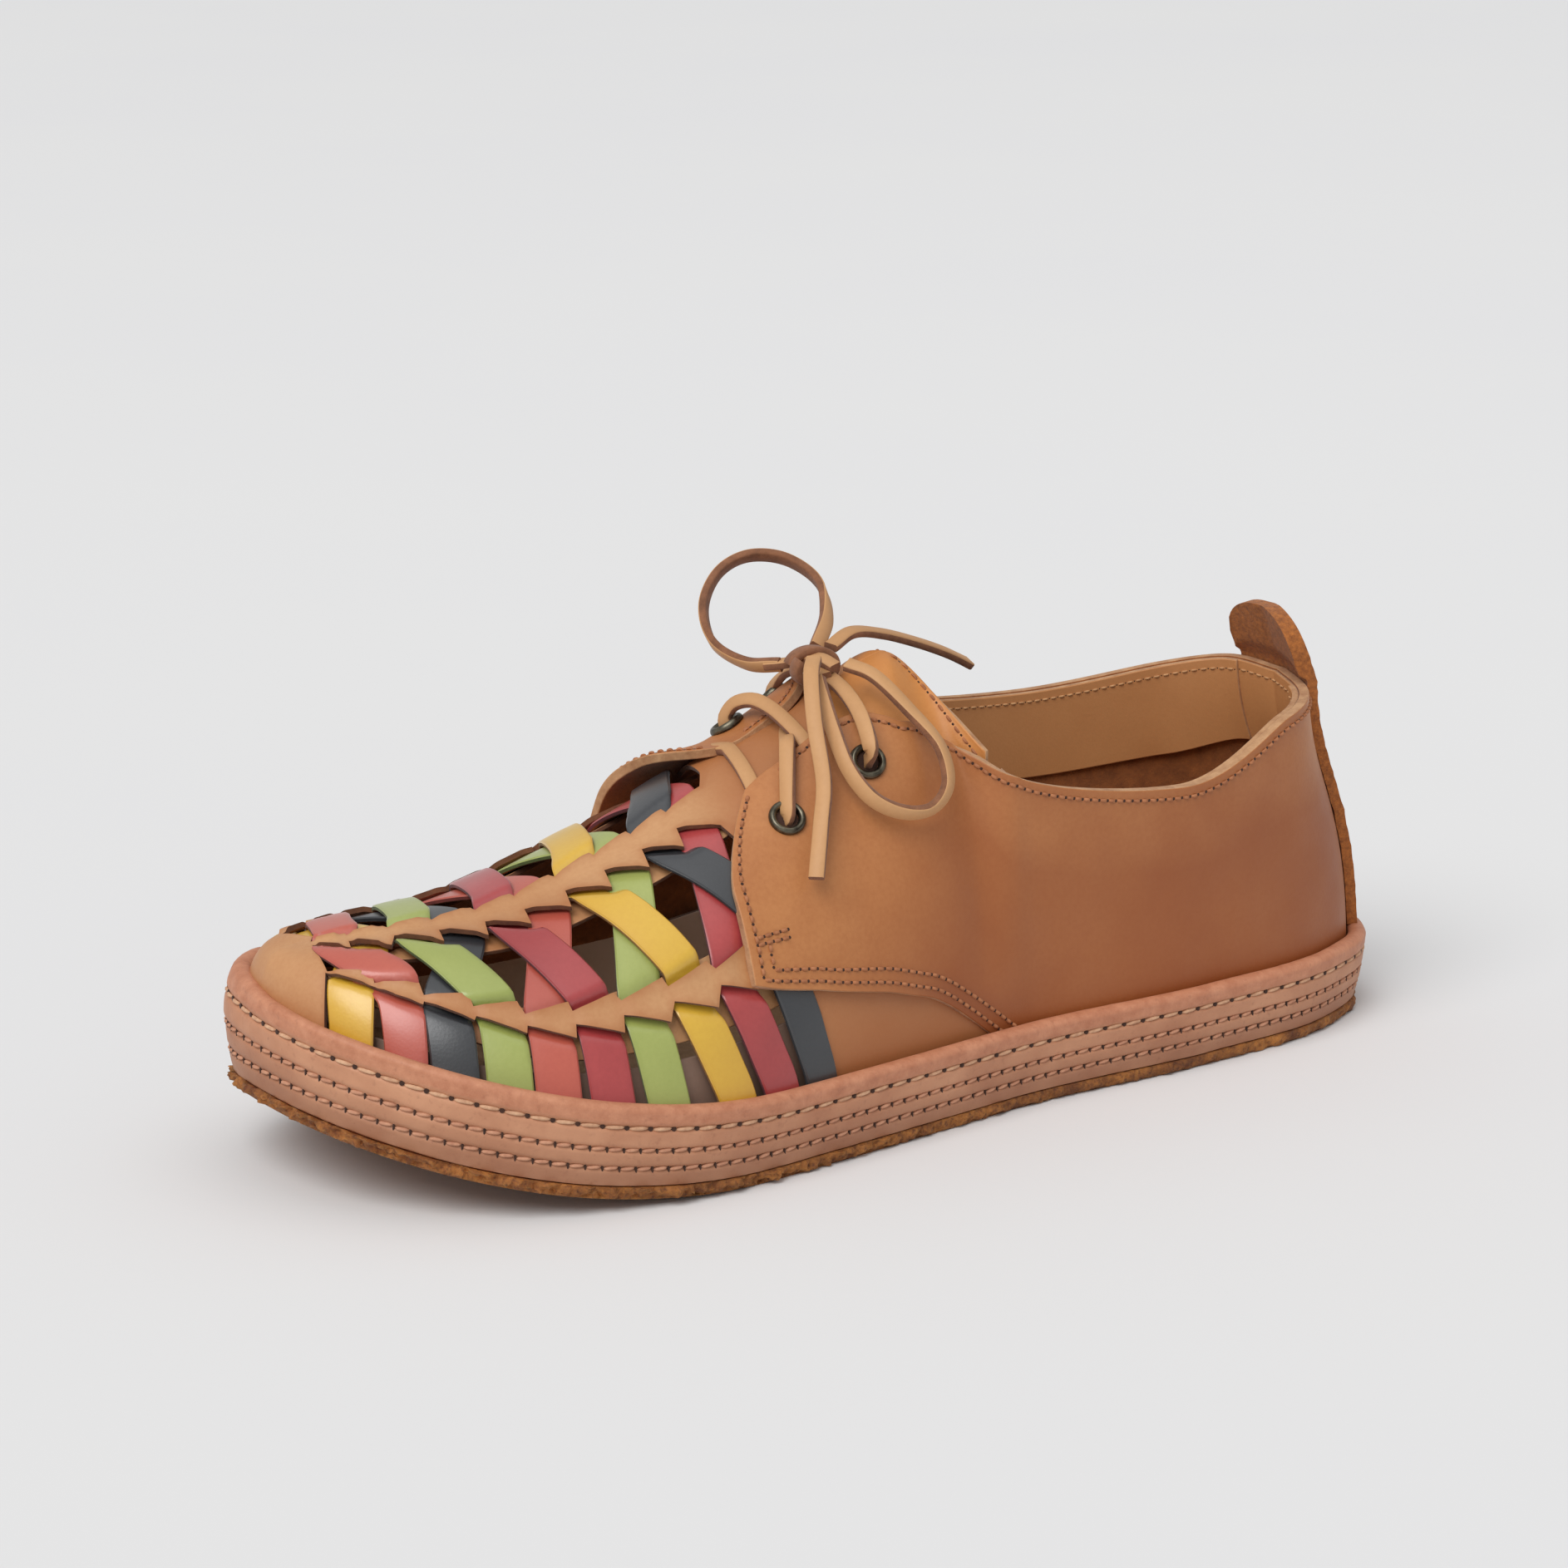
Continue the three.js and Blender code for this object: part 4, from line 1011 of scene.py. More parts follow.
def thong(name, line, facing, node):
    """A thong along a line. facing gives, at each point, roughly where its smooth side looks."""
    tangent = unit(np.gradient(line, axis=0))
    normal = unit(facing - tangent * np.einsum("ij,ij->i", facing, tangent)[:, None])
    side = np.cross(tangent, normal)
    profile = thong_section()
    n, m = len(line), len(profile)
    points = line[:, None, :] + profile[None, :, :1] * side[:, None, :]
    points = points + profile[None, :, 1:] * normal[:, None, :]
    faces, slots = [], []
    for i in range(n - 1):
        for j in range(m):
            k = (j + 1) % m
            faces.append([i * m + j, i * m + k, (i + 1) * m + k, (i + 1) * m + j])
            slots.append(0 if j < THONG.grain_sides else 1)
    ends = [list(range(m))[::-1], [(n - 1) * m + j for j in range(m)]]
    obj = make(name, points.reshape(-1, 3), faces + ends, [LACE_GRAIN, LACE_FLESH], "lace", slots + [1, 1])
    stand_for(obj, node)
    return obj


def facing_from(line, keys):
    """Directions given at shares of the line's length, blended between."""
    shares, ways = zip(*keys)
    return unit(along_line(np.linspace(0, 1, len(line)), shares, np.array(ways)))


def lay_cord(name, node, far_end, points, keys):
    line = spline(points)
    obj = thong(name, line, facing_from(line, keys), node)


set_camera()
for cord in CORDS:
    lay_cord(*cord)


# Quarters
def flap_shift(station, side):
    """How much further up the section the inner side's flap reaches."""
    reach = INNER_FLAP.shift * smooth(INNER_FLAP.heel, INNER_FLAP.toe, station)
    return reach if side < 0 else 0 * reach


def quarter_offset(station, v, side):
    flap = INNER_FLAP
    lap = LAP.height * smooth(LAP.heel, LAP.toe, station) * smooth(LAP.low, LAP.high, v)
    if side > 0:
        return QUARTER_INNER + lap
    lift = smooth(flap.lift_start, FLAP_FRONT, station) * smooth(flap.lift_low, flap.lift_high, v)
    flat = 1 - smooth(flap.flat_low, flap.flat_high, v) * smooth(TIP, flap.toe, station)
    return QUARTER_INNER + lap * flat + flap.lift * lift


def quarter_top(station):
    return monotone(QUARTER_EDGE[:, 0], QUARTER_EDGE[:, 2], station)


def quarter_place(p, q, side=1):
    """Station and part of the height at share p from heel to front and q from lower to upper edge."""
    corner = FLAP.corner * clamp((q - FLAP.low) / (1 - FLAP.low)) ** 2
    station = p * (FLAP_FRONT - corner * smooth(FLAP.start, 1, p))
    low = monotone(QUARTER_EDGE[:, 0], QUARTER_EDGE[:, 1], station)
    return station, lerp(low, quarter_top(station) + flap_shift(station, side), q)


def quarter_point(p, q, side, height):
    station, v = quarter_place(p, q, side)
    return skin(turn_at(station, side), v, quarter_offset(station, v, side) + height)


def quarter_thickness(p, q):
    station, _ = quarter_place(p, q)
    return lerp(UPPER_OUTER - QUARTER_INNER, QUARTER_THICKNESS, smooth(LAP.heel, LAP.toe, station))


def crease_height(p, q):
    total = np.zeros(np.broadcast(p, q).shape)
    for at, up, wide, tall, depth in CREASES:
        total = total + depth * np.exp(-(((p - at) / wide) ** 2) - ((q - up) / tall) ** 2)
    sides = smooth(0, CREASE_FADE.low, q) * smooth(1, CREASE_FADE.high, q)
    return total * sides * smooth(1, CREASE_FADE.front, p)


def quarter_face(p, q, side):
    return quarter_point(p, q, side, quarter_thickness(p, q) + crease_height(p, q))


def quarter_normal(p, q, side):
    e = 4 * TINY
    du = quarter_face(np.minimum(p + e, 1), q, side) - quarter_face(np.maximum(p - e, 0), q, side)
    dv = quarter_face(p, np.minimum(q + e, 1), side) - quarter_face(p, np.maximum(q - e, 0), side)
    return unit(np.cross(dv, du)) * side


def quarter_shade_and_fade(p, q):
    """Painted shade from the waist back, painted highlight towards the front and painted light along the
    collar; paler at the heel, where the tan has faded.
    """
    shading = QUARTER_SHADE_AND_FADE
    collar = lerp(1, shading.collar, smooth(*shading.collar_start, q))
    waist = shading.waist * smooth(*shading.front, p) * collar
    return shading.base + waist - shading.heel * smooth(*shading.heel_end, p)


def quarters():
    p = np.linspace(0, 1, QUARTER_GRID[0])[:, None]
    q = np.linspace(0, 1, QUARTER_GRID[1])[None, :]
    for name, side in SIDES.items():
        outer = quarter_face(p, q, side)
        inner = quarter_point(p, q, side, crease_height(p, q))
        # The quarter's darkening is painted shade and painted highlight, with faded tan at the heel
        obj = shell(f"quarter_{name}", outer, inner, [TAN_RICH, TAN_EDGE, FLESH], quarter_shade_and_fade(p, q))
        stand_for(soften(obj, "quarter"), "upper")


def across_height(p, side):
    """Height of the quarter from its lower to its upper edge, along the leather."""
    return np.linalg.norm(quarter_face(p, p * 0 + 1, side) - quarter_face(p, p * 0, side), axis=1)


def seam_row(name, p, q, side):
    p, q = np.broadcast_arrays(p, q)
    sew(name, quarter_face(p, q, side), quarter_normal(p, q, side), SEAM)


def quarter_rows(name, side):
    front = 1 - ROW.front / QUARTER_LENGTH
    p = np.linspace(*ROW.collar_span, ROW_STEPS.collar)
    seam_row(f"collar_row_{name}", p, 1 - ROW.collar / across_height(p, side), side)
    seam_row(f"front_row_{name}", front, np.linspace(*ROW.front_span, ROW_STEPS.front), side)
    for k, inset in enumerate(ROW.arc):
        p = np.linspace(ROW.arc_start, front - ROW.second * k, ROW_STEPS.arc)
        seam_row(f"arc_row_{name}_{k}", p, inset / across_height(p, side), side)
    q = np.linspace(ROW.second_start, ROW.tack_q, ROW_STEPS.tack)
    seam_row(f"second_row_{name}", front - ROW.second, q, side)
    for k in range(ROW.tacks):
        p = np.linspace(front - ROW.tack_long, front, ROW_STEPS.tack)
        seam_row(f"tack_{name}_{k}", p, ROW.tack_q + k * ROW.tack_gap, side)


quarters()
for side_name, side_sign in SIDES.items():
    quarter_rows(side_name, side_sign)


# Straps
def band_w(name, edge, station):
    w = BANDS[name][edge]
    if name != "lateral":
        return np.full_like(np.asarray(station, float), w)
    climb = CLIMB.rise * clamp((station - CLIMB.start) / CLIMB.length) ** CLIMB.power
    return w - climb * (CLIMB.upper if edge else 1)


def blur(values, width):
    """Gaussian smoothing along a list with its ends kept."""
    reach = int(3 * width)
    kernel = np.exp(-0.5 * (np.arange(-reach, reach + 1) / width) ** 2)
    kernel /= kernel.sum()
    before = 2 * values[:1] - values[reach:0:-1]
    after = 2 * values[-1:] - values[-2 : -reach - 2 : -1]
    return np.convolve(np.concatenate([before, values, after]), kernel, "valid")


def blur_columns(table):
    return np.stack([blur(column, STRAP.ease) for column in table.T], -1)


def even_hem():
    """Stations that space the straps evenly along the medial hem."""
    fine = np.linspace(WEAVE[0][1], WEAVE[-1][1], HEM_STEPS)
    length = run(across(fine, -STRAP.turn_w, 0.0))
    return np.interp(np.linspace(0, length[-1], len(WEAVE)), length, fine)


def strap_line(row, medial_hem):
    """Station and w of a strap's middle from the lateral hem to the medial hem, about 1 mm apart."""
    _, hem, band, ridge = row
    stops = np.array([
        (hem, STRAP.end_w),
        (hem, STRAP.turn_w),
        (band, float(band_w("lateral", 0, band))),
        (band, float(band_w("lateral", 1, band))),
        (ridge, BANDS["middle"][0]),
        (ridge, BANDS["middle"][1]),
        (band, BANDS["medial"][1]),
        (band, BANDS["medial"][0]),
        (medial_hem, -STRAP.turn_w),
        (medial_hem, -STRAP.end_w),
    ])
    length = run(across(stops[:, 0], stops[:, 1], 0.0))
    at = np.linspace(0, length[-1], int(length[-1]) + 1)
    return blur_columns(along_line(at, length, stops))


def surface_steps(station, w, direction):
    """Steps of station and w that move points of the surface along directions."""
    ds = (across(station + TINY, w, 0.0) - across(station - TINY, w, 0.0)) / (2 * TINY)
    dw = (across(station, w + TINY, 0.0) - across(station, w - TINY, 0.0)) / (2 * TINY)
    bases = np.stack([ds, dw], -1)
    return np.stack([np.linalg.lstsq(basis, way, rcond=None)[0] for basis, way in zip(bases, direction)])


def strap_sides(line):
    """For each point of a strap's middle, the steps of station and w for 1 mm sideways."""
    station, w = line.T
    centre = across(station, w, 0.0)
    side = unit(np.cross(across_normal(station, w), unit(np.gradient(centre, axis=0))))
    return blur_columns(surface_steps(station, w, side))


STRAP_LINES = [strap_line(row, hem) for row, hem in zip(WEAVE, even_hem())]
STRAP_SIDES = [strap_sides(line) for line in STRAP_LINES]


def slit(line, sides, name, edge):
    """Heel end and toe end of the slit that one strap passes at one edge of a band."""
    wanted = band_w(name, edge, line[:, 0])
    k = int(np.abs(line[:, 1] - wanted).argmin())
    reach = (STRAP.width / 2 + SLIT.room) * max(abs(sides[k, 0]), SLIT.least)
    slant = SLANT[(name, edge)]
    return [
        np.array([line[k, 0] - reach, wanted[k] + slant]),
        np.array([line[k, 0] + reach, wanted[k] - slant]),
    ]


def heel_to_toe(cuts):
    return sorted(range(len(cuts)), key=lambda i: cuts[i][0][0] + cuts[i][1][0])


def edge_slits(key):
    """Slits along one edge. Those that would run into each other end at a step between them."""
    cuts = [slit(line, sides, *key) for line, sides in zip(STRAP_LINES, STRAP_SIDES)]
    order = heel_to_toe(cuts)
    for i, j in zip(order, order[1:]):
        if cuts[i][1][0] > cuts[j][0][0] - 2 * SLIT.step:
            middle = (cuts[i][1][0] + cuts[j][0][0]) / 2
            cuts[i][1][0] = middle - SLIT.step
            cuts[j][0][0] = middle + SLIT.step
    return cuts, order


SLITS = {key: edge_slits(key) for key in EDGES}


def beyond(index, key, station, w):
    """Millimetres from a strap's slit to a place, positive on the open side."""
    heel, toe = SLITS[key][0][index]
    share = clamp((station - heel[0]) / (toe[0] - heel[0]))
    return np.sign(MARGIN[key]) * (w - lerp(heel[1], toe[1], share)) * DOMAIN[1]


def strap_height(index, station, w):
    """Height of a strap's underside: low under the bands, up where it crosses the windows."""
    lift = STRAP.high if index % 2 else STRAP.low
    hem = lerp(STRAP.side, STRAP.hem, smooth(STRAP.hem_w, HEM_W, np.abs(w)))
    away = {key: beyond(index, key, station, w) for key in EDGES}
    rises = (
        (lift, np.minimum(away[("lateral", 1)], away[("middle", 0)])),
        (lift, np.minimum(away[("middle", 1)], away[("medial", 1)])),
        (hem, away[("lateral", 0)]),
        (hem, away[("medial", 0)]),
    )
    height = np.full(station.shape, STRAP.under)
    for top, distance in rises:
        height = np.maximum(height, lerp(STRAP.under, top, smooth(SLIT.start, SLIT.ramp, distance)))
    return height


def strap(index, color, line, sides):
    edge = np.abs(STRAP_COLUMNS)
    reach = STRAP_COLUMNS * STRAP.width / 2
    station = np.minimum(line[:, :1] + sides[:, :1] * reach, LAST)
    w = line[:, 1:] + sides[:, 1:] * reach
    rounding = STRAP.rounding * smooth(STRAP.round_start, 1, edge) ** 2
    crown = STRAP.crown * (1 - edge**2)
    wave = wobble(across(station, w, 0.0), STRAP.wave, STRAP.wave_scale, index + 1)
    height = strap_height(index, station, w) + crown + wave
    outer = across(station, w, height + STRAP.thick - rounding)
    inner = across(station, w, height + rounding)
    wear = np.broadcast_to(STRAP.wear * edge ** STRAP.wear_power, w.shape)
    materials = [STRAP_LEATHER[color], STRAP_EDGE[color], FLESH]
    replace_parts(shell(f"strap_{index:02d}_{color}", outer, inner, materials, wear), "upper")


for number, strap_row in enumerate(WEAVE):
    strap(number, strap_row[0], STRAP_LINES[number], STRAP_SIDES[number])


# The vamp: one leather with four windows, whose edges step from slit to slit
def chain(key):
    cuts, order = SLITS[key]
    return [point for i in order for point in cuts[i]]


def window(first, second):
    return np.array(chain(first) + chain(second)[::-1])


def side_window(key, sign):
    rim = chain(key)
    toe = np.array([rim[-1][0] + VAMP.window_room, sign * HEM_W])
    heel = np.array([WEAVE[-1][1] - VAMP.window_room, sign * HEM_W])
    return np.array(rim + [toe, heel])


def refine(polygon, spacing):
    out = []
    for a, b in zip(polygon, np.roll(polygon, -1, axis=0)):
        steps = max(1, int(math.ceil(np.linalg.norm((b - a) * DOMAIN) / spacing)))
        out += [lerp(a, b, k / steps) for k in range(steps)]
    return np.array(out)


def inside(points, polygon):
    x, y = points[:, 0][:, None], points[:, 1][:, None]
    a, b = polygon, np.roll(polygon, -1, axis=0)
    spans = (a[:, 1] > y) != (b[:, 1] > y)
    rise = np.where(b[:, 1] == a[:, 1], 1, b[:, 1] - a[:, 1])
    cross = a[:, 0] + (y - a[:, 1]) * (b[:, 0] - a[:, 0]) / rise
    return (np.sum(spans & (x < cross), axis=1) % 2) == 1


def distance_to_segments(points, starts, ends):
    """Shortest distance in domain millimetres from each point to any segment."""
    p, a, b = points * DOMAIN, starts * DOMAIN, ends * DOMAIN
    ab = b - a
    t = np.einsum("nsk,sk->ns", p[:, None, :] - a[None], ab) / np.maximum((ab**2).sum(1), ZERO)
    nearest = a[None] + clamp(t)[..., None] * ab[None]
    return np.linalg.norm(p[:, None, :] - nearest, axis=-1).min(1)


def distance_to_loops(points, loops):
    starts = np.concatenate(loops)
    ends = np.concatenate([np.roll(loop, -1, axis=0) for loop in loops])
    return distance_to_segments(points, starts, ends)


VAMP_HALF = np.array([
    [LAST, 1], [VAMP.panel_heel, 1], [VAMP.panel_heel, VAMP.panel_w], [VAMP.heel, VAMP.panel_w],
])
VAMP_FRAME = np.concatenate([VAMP_HALF, VAMP_HALF[::-1] * (1, -1)])
WINDOWS = [
    side_window(("lateral", 0), 1),
    window(("lateral", 1), ("middle", 0)),
    window(("middle", 1), ("medial", 1)),
    side_window(("medial", 0), -1),
]


def vamp_height(place):
    """Height of the vamp's face: lower under the quarters and towards the tongue, lifted at the slits."""
    s, w = place.T
    base = lerp(VAMP.under_quarter, UPPER_OUTER, smooth(*VAMP.quarter_end, s))
    throat = lerp(VAMP.throat, base, smooth(*VAMP.throat_end, s))
    base = lerp(base, throat, smooth(*VAMP.throat_w, np.abs(w)))
    pairs = np.array([pair for cuts, _ in SLITS.values() for pair in cuts])
    middle = pairs.mean(1)
    starts, ends = (lerp(middle, pairs[:, k], VAMP.lip_share) for k in (0, 1))
    d = distance_to_segments(place, starts, ends)
    return base + SLIT.lip * np.exp(-((d / SLIT.reach) ** 2))


def in_vamp(points):
    keep = inside(points, VAMP_FRAME)
    for hole in WINDOWS:
        keep &= ~inside(points, hole)
    return keep


def vamp_fill(loops):
    """Places that fill the vamp between its outline and its windows."""
    step = VAMP_MESH.fill / DOMAIN
    grid_s = np.arange(VAMP.panel_heel, LAST, step[0])
    grid_w = np.arange(-1, 1, step[1])
    fill = np.array([[s + (k % 2) * step[0] / 2, w] for k, w in enumerate(grid_w) for s in grid_s])
    fill = fill[in_vamp(fill)]
    return fill[distance_to_loops(fill, loops) > VAMP_MESH.clear]


def vamp_triangles(loops):
    places = np.concatenate(loops + [vamp_fill(loops)])
    edges, start = [], 0
    for loop in loops:
        edges += [(start + k, start + (k + 1) % len(loop)) for k in range(len(loop))]
        start += len(loop)
    corners = [Vector(p * DOMAIN) for p in places]
    cut = geometry.delaunay_2d_cdt(corners, edges, [], 0, VAMP_MESH.weld)
    places = np.array([v[:] for v in cut[0]]) / DOMAIN
    tris = np.array(cut[2])
    tris = tris[in_vamp(places[tris].mean(1))]
    used, tris = np.unique(tris, return_inverse=True)
    return places[used], tris.reshape(-1, 3)


def vamp_rim(places, tris):
    """Edges of the vamp's outline and windows, without the seam at the toe where both sides meet."""
    sides = np.concatenate([tris[:, [0, 1]], tris[:, [1, 2]], tris[:, [2, 0]]]).tolist()
    known = {tuple(pair) for pair in sides}
    seam = places[:, 0] > LAST - VAMP_MESH.seam
    return [(a, b) for a, b in sides if (b, a) not in known and not (seam[a] and seam[b])]


def vamp_wear(places, cuts):
    s, w = places.T
    wear = VAMP_WEAR.cut * np.exp(-distance_to_loops(places, cuts) / VAMP_WEAR.cut_reach)
    toe = smooth(*VAMP_WEAR.toe_start, s) * smooth(*VAMP_WEAR.toe_w, np.abs(w))
    return wear + VAMP_WEAR.toe * toe + VAMP_WEAR.throat * smooth(*VAMP_WEAR.throat_end, s)


def vamp():
    cuts = [refine(hole, VAMP_MESH.window) for hole in WINDOWS]
    places, tris = vamp_triangles([refine(VAMP_FRAME, VAMP_MESH.frame)] + cuts)
    height = vamp_height(places)
    outer, inner = (across(places[:, 0], places[:, 1], h) for h in (height, height - VAMP.thick))
    rim = vamp_rim(places, tris)
    count = len(places)
    faces = [list(t) for t in tris]
    faces += [[b, a, a + count, b + count] for a, b in rim]
    faces += [[a + count, c + count, b + count] for a, b, c in tris]
    slots = np.repeat([0, 1, 2], [len(tris), len(rim), len(tris)])
    wear = {"wear": np.tile(vamp_wear(places, cuts), 2)}
    obj = make("vamp", np.concatenate([outer, inner]), faces, [TAN, RAW_EDGE, FLESH], "sheet", slots, wear)
    weld = obj.modifiers.new("toe_seam", "WELD")
    weld.merge_threshold = VAMP_MESH.weld
    stand_for(soften(obj, "vamp"), "upper")


def margins():
    """The leather left beyond the slits, which shows under and between the straps."""
    for key in EDGES:
        ends = np.array(chain(key))
        reach = MARGIN_PIECE.ends
        s = np.linspace(ends[0, 0] - reach, ends[-1, 0] + reach, MARGIN_GRID[0])[:, None]
        edge = np.interp(s[:, 0], np.maximum.accumulate(ends[:, 0]), ends[:, 1])
        share = np.linspace(MARGIN_PIECE.start, 1, MARGIN_GRID[1])[None, :]
        w = lerp(blur(edge, MARGIN_PIECE.ease)[:, None], band_w(*key, s) + MARGIN[key], share)
        outer, inner = across(s, w, 0.0), across(s, w, -MARGIN_PIECE.thick)
        soften(shell(f"margin_{key[0]}_{key[1]}", outer, inner, [TAN, RAW_EDGE, FLESH]), "vamp")


def inner_wall():
    """A smooth inner facing behind the straps, low along both sides. Its face inside the shoe is a brighter
    copy of its leather: painted light.
    """
    s = np.linspace(INNER_WALL.heel, INNER_WALL.toe, FACING_GRID[0])[:, None]
    for name, side in SIDES.items():
        w = np.linspace(INNER_WALL.top, INNER_WALL.foot, FACING_GRID[1])[None, :] * side
        outer, inner = (across(s, w, h) for h in (INNER_WALL.outer, INNER_WALL.inner))
        soften(shell(f"inner_facing_{name}", outer, inner, [TAUPE, TAUPE, TAUPE_PAINTED_LIGHT]), "facing")


vamp()
margins()
inner_wall()


# Tongue, with its stitched rear edge
def tongue_wave(s, v):
    fade = smooth(*TONGUE_WAVE.start, v) * smooth(*TONGUE_WAVE.end, v)
    return TONGUE_WAVE.depth * np.sin(s * TONGUE_WAVE.rate) * fade


def tongue_piece(name, side):
    behind, ahead, up = TONGUE_GRID
    s = np.concatenate([np.linspace(TONGUE.heel, TIP, behind), np.linspace(TIP, TONGUE.toe, ahead)[1:]])
    s = s[:, None]
    v = np.linspace(TONGUE.edge, 1, up)[None, :]
    wave = tongue_wave(s, v)
    outer, inner = (skin(turn_at(s, side), v, h + wave) for h in (TONGUE.outer, TONGUE.inner))
    obj = shell(f"tongue_{name}", outer, inner, [TONGUE_TAN, TAN_EDGE, FLESH])
    stand_for(soften(obj, "tongue"), "tongue")


def tongue_row(name, side):
    s = np.linspace(TONGUE.heel + TONGUE_ROW.heel, TIP - TONGUE_ROW.tip, ROW_STEPS.tongue)
    v = np.full_like(s, TONGUE_ROW.height)
    u = turn_at(s, side)
    path = skin(u, v, TONGUE.outer + tongue_wave(s, v))
    sew(f"tongue_row_{name}", path, foot_normal(u, v), TONGUE_SEAM)


for side_name, side_sign in SIDES.items():
    tongue_piece(side_name, side_sign)
    tongue_row(side_name, side_sign)


# Collar lining inside the quarters
def lining_piece(name, start, end, face):
    """Lining between two turns round the collar, with its smooth side at the given height."""
    u = np.linspace(start, end, LINING_GRID[0])[:, None]
    q = np.linspace(0, 1, LINING_GRID[1])[None, :]
    top = quarter_top(np.abs(u))
    v = lerp(top - LINING_CUT.depth, top - LINING_CUT.top, q)
    outer, inner = (skin(u, v, np.full(v.shape, h)) for h in (face, QUARTER_INNER - LINING_CUT.back))
    soften(shell(name, outer, inner, [LINING, TAN_EDGE, FLESH]), "lining")


def lining_row(name, start, end, face):
    u = np.linspace(start, end, ROW_STEPS.lining)
    v = quarter_top(np.abs(u)) - LINING_CUT.row
    sew(name, skin(u, v, np.full_like(u, face)), -foot_normal(u, v), LINING_SEAM)


def lining():
    cut = LINING_CUT
    deep = QUARTER_INNER - cut.deep
    near = deep - cut.near
    seam, front = cut.seam, cut.front
    lining_piece("lining_heel", -seam - cut.lap, seam + cut.lap, deep)
    lining_row("lining_row_heel", -seam + cut.row_heel, seam - cut.row_heel, deep)
    for name, side in SIDES.items():
        lining_piece(f"lining_{name}", side * seam, side * front, near)
        start, end = side * (seam + cut.row_side), side * (front - cut.row_front)
        lining_row(f"lining_row_{name}", start, end, near)


lining()


# Heel strip with its pull tab
def heel_stay():
    p = np.linspace(0, 1, STAY_GRID[0])[:, None]
    h = np.linspace(-1, 1, STAY_GRID[1])[None, :]
    strip = 1 - TAB.share
    v = lerp(STAY.start, 1, clamp(p / strip)) + 0 * h
    u = h * lerp(STAY.low, STAY.high, v)
    above = clamp((p - strip) / TAB.share)
    height = above * (TAB.height - TAB.rounding * (1 - np.sqrt(1 - h * h)))
    rise = np.stack([height * TAB.lean, 0 * height, height], -1)
    fold = TAB.fold * smooth(TAB.fold_start, TAB.fold_end, above)
    base = UPPER_OUTER + STAY.gap
    torn = TAB_RAGGED
    ragged = wobble(skin(u, v, base + 0 * u) + rise, torn.depth, torn.scale, torn.seed)
    ragged = ragged * np.abs(h) ** torn.edge
    inner = skin(u, v, base - fold + ragged) + rise
    outer = skin(u, v, base + STAY.thick + ragged) + rise
    wear = np.full(u.shape, STAY.wear)
    obj = shell("heel_strip", outer, inner, [TAN_RICH, TAB_SUEDE, TAB_SUEDE], wear)
    stand_for(soften(obj, "stay", segments=3), "heel_stay")


heel_stay()


# Sidewall with its grooves and stitch rows
def wall_lean(z):
    return np.interp(z, WALL_LEAN[:, 0], WALL_LEAN[:, 1])


def sidewall_profile():
    z = np.linspace(SIDEWALL_LOW, BEAD.foot, WALL_GRID[1])
    cut = sum(GROOVE.depth * np.exp(-(((z - g) / GROOVE.width) ** 2)) for g in GROOVES)
    turn = np.linspace(0, np.pi, BEAD.arc + 1)[1:]
    radius = BEAD.radius
    bead = np.stack([radius - radius * np.cos(turn), BEAD.foot + BEAD.rise * np.sin(turn)], -1)
    inner = np.array([(WALL_INNER.inset, height) for height in WALL_INNER.heights])
    return np.concatenate([np.stack([wall_lean(z) + cut, z], -1), bead, inner])


def sidewall():
    profile = sidewall_profile()
    turns = even_turns(WALL_GRID[0])
    inset, z = profile.T
    points = wall_point(turns[:, None], inset[None, :], z[None, :])
    free = inset < WALL_INNER.free
    uneven = wobble(points, *UNEVEN.long) + wobble(points, *UNEVEN.short)
    uneven = np.minimum(uneven, UNEVEN.most) * free
    flat = (points + outward_at(turns)[:, None, :] * uneven[..., None]).reshape(-1, 3)
    faces = outward(flat, ring_faces(*points.shape[:2]))
    marks = {"burnish": smooth(*BURNISH, z) * free, "soil": smooth(*SOIL, z)}
    marks = {key: np.tile(values, len(turns)) for key, values in marks.items()}
    obj = make("sidewall_strip", flat, faces, [FOXING], "wall", attributes=marks)
    stand_for(obj, "sidewall")


def sidewall_rows():
    turns = even_turns(ROW_STEPS.sidewall)
    normal = unit(outward_at(turns, THREAD_TILT))
    for k, (z, kind) in enumerate(zip(GROOVES[::-1], (BEAD_SEAM, WALL_SEAM, WALL_SEAM))):
        path = wall_point(turns, wall_lean(z) + GROOVE.thread, z)
        sew(f"sidewall_row_{k}", path, normal, kind, closed=True)


sidewall()
sidewall_rows()


# Crepe outsole with a torn edge, and the footbed
def outsole():
    inset, z = CREPE_PROFILE.T
    turns = even_turns(CREPE_TURNS)
    points = wall_point(turns[:, None], inset[None, :], z[None, :])
    rim = (inset < TEAR.inset) & (z < CREPE_HEIGHT)
    ragged = rim * lerp(TEAR.heel, 1, smooth(*TEAR.span, points[..., 0]))
    torn = wobble(points, *TEAR.long) + wobble(points, *TEAR.short)
    points = points + outward_at(turns)[:, None, :] * (torn * ragged)[..., None]
    points[..., 2] += np.abs(wobble(points, *TEAR.lift)) * (1 - z / CREPE_HEIGHT) * ragged
    slab("crepe_sole", points, CREPE, "outsole")


def insole():
    inset, z = FOOTBED_PROFILE.T
    points = sole_point(even_turns(FOOTBED_TURNS)[:, None], inset[None, :], z[None, :])
    points[..., 2] = z + edge_rise(points[..., 0])
    slab("footbed", points, INSOLE_SUEDE, "insole")


outsole()
insole()


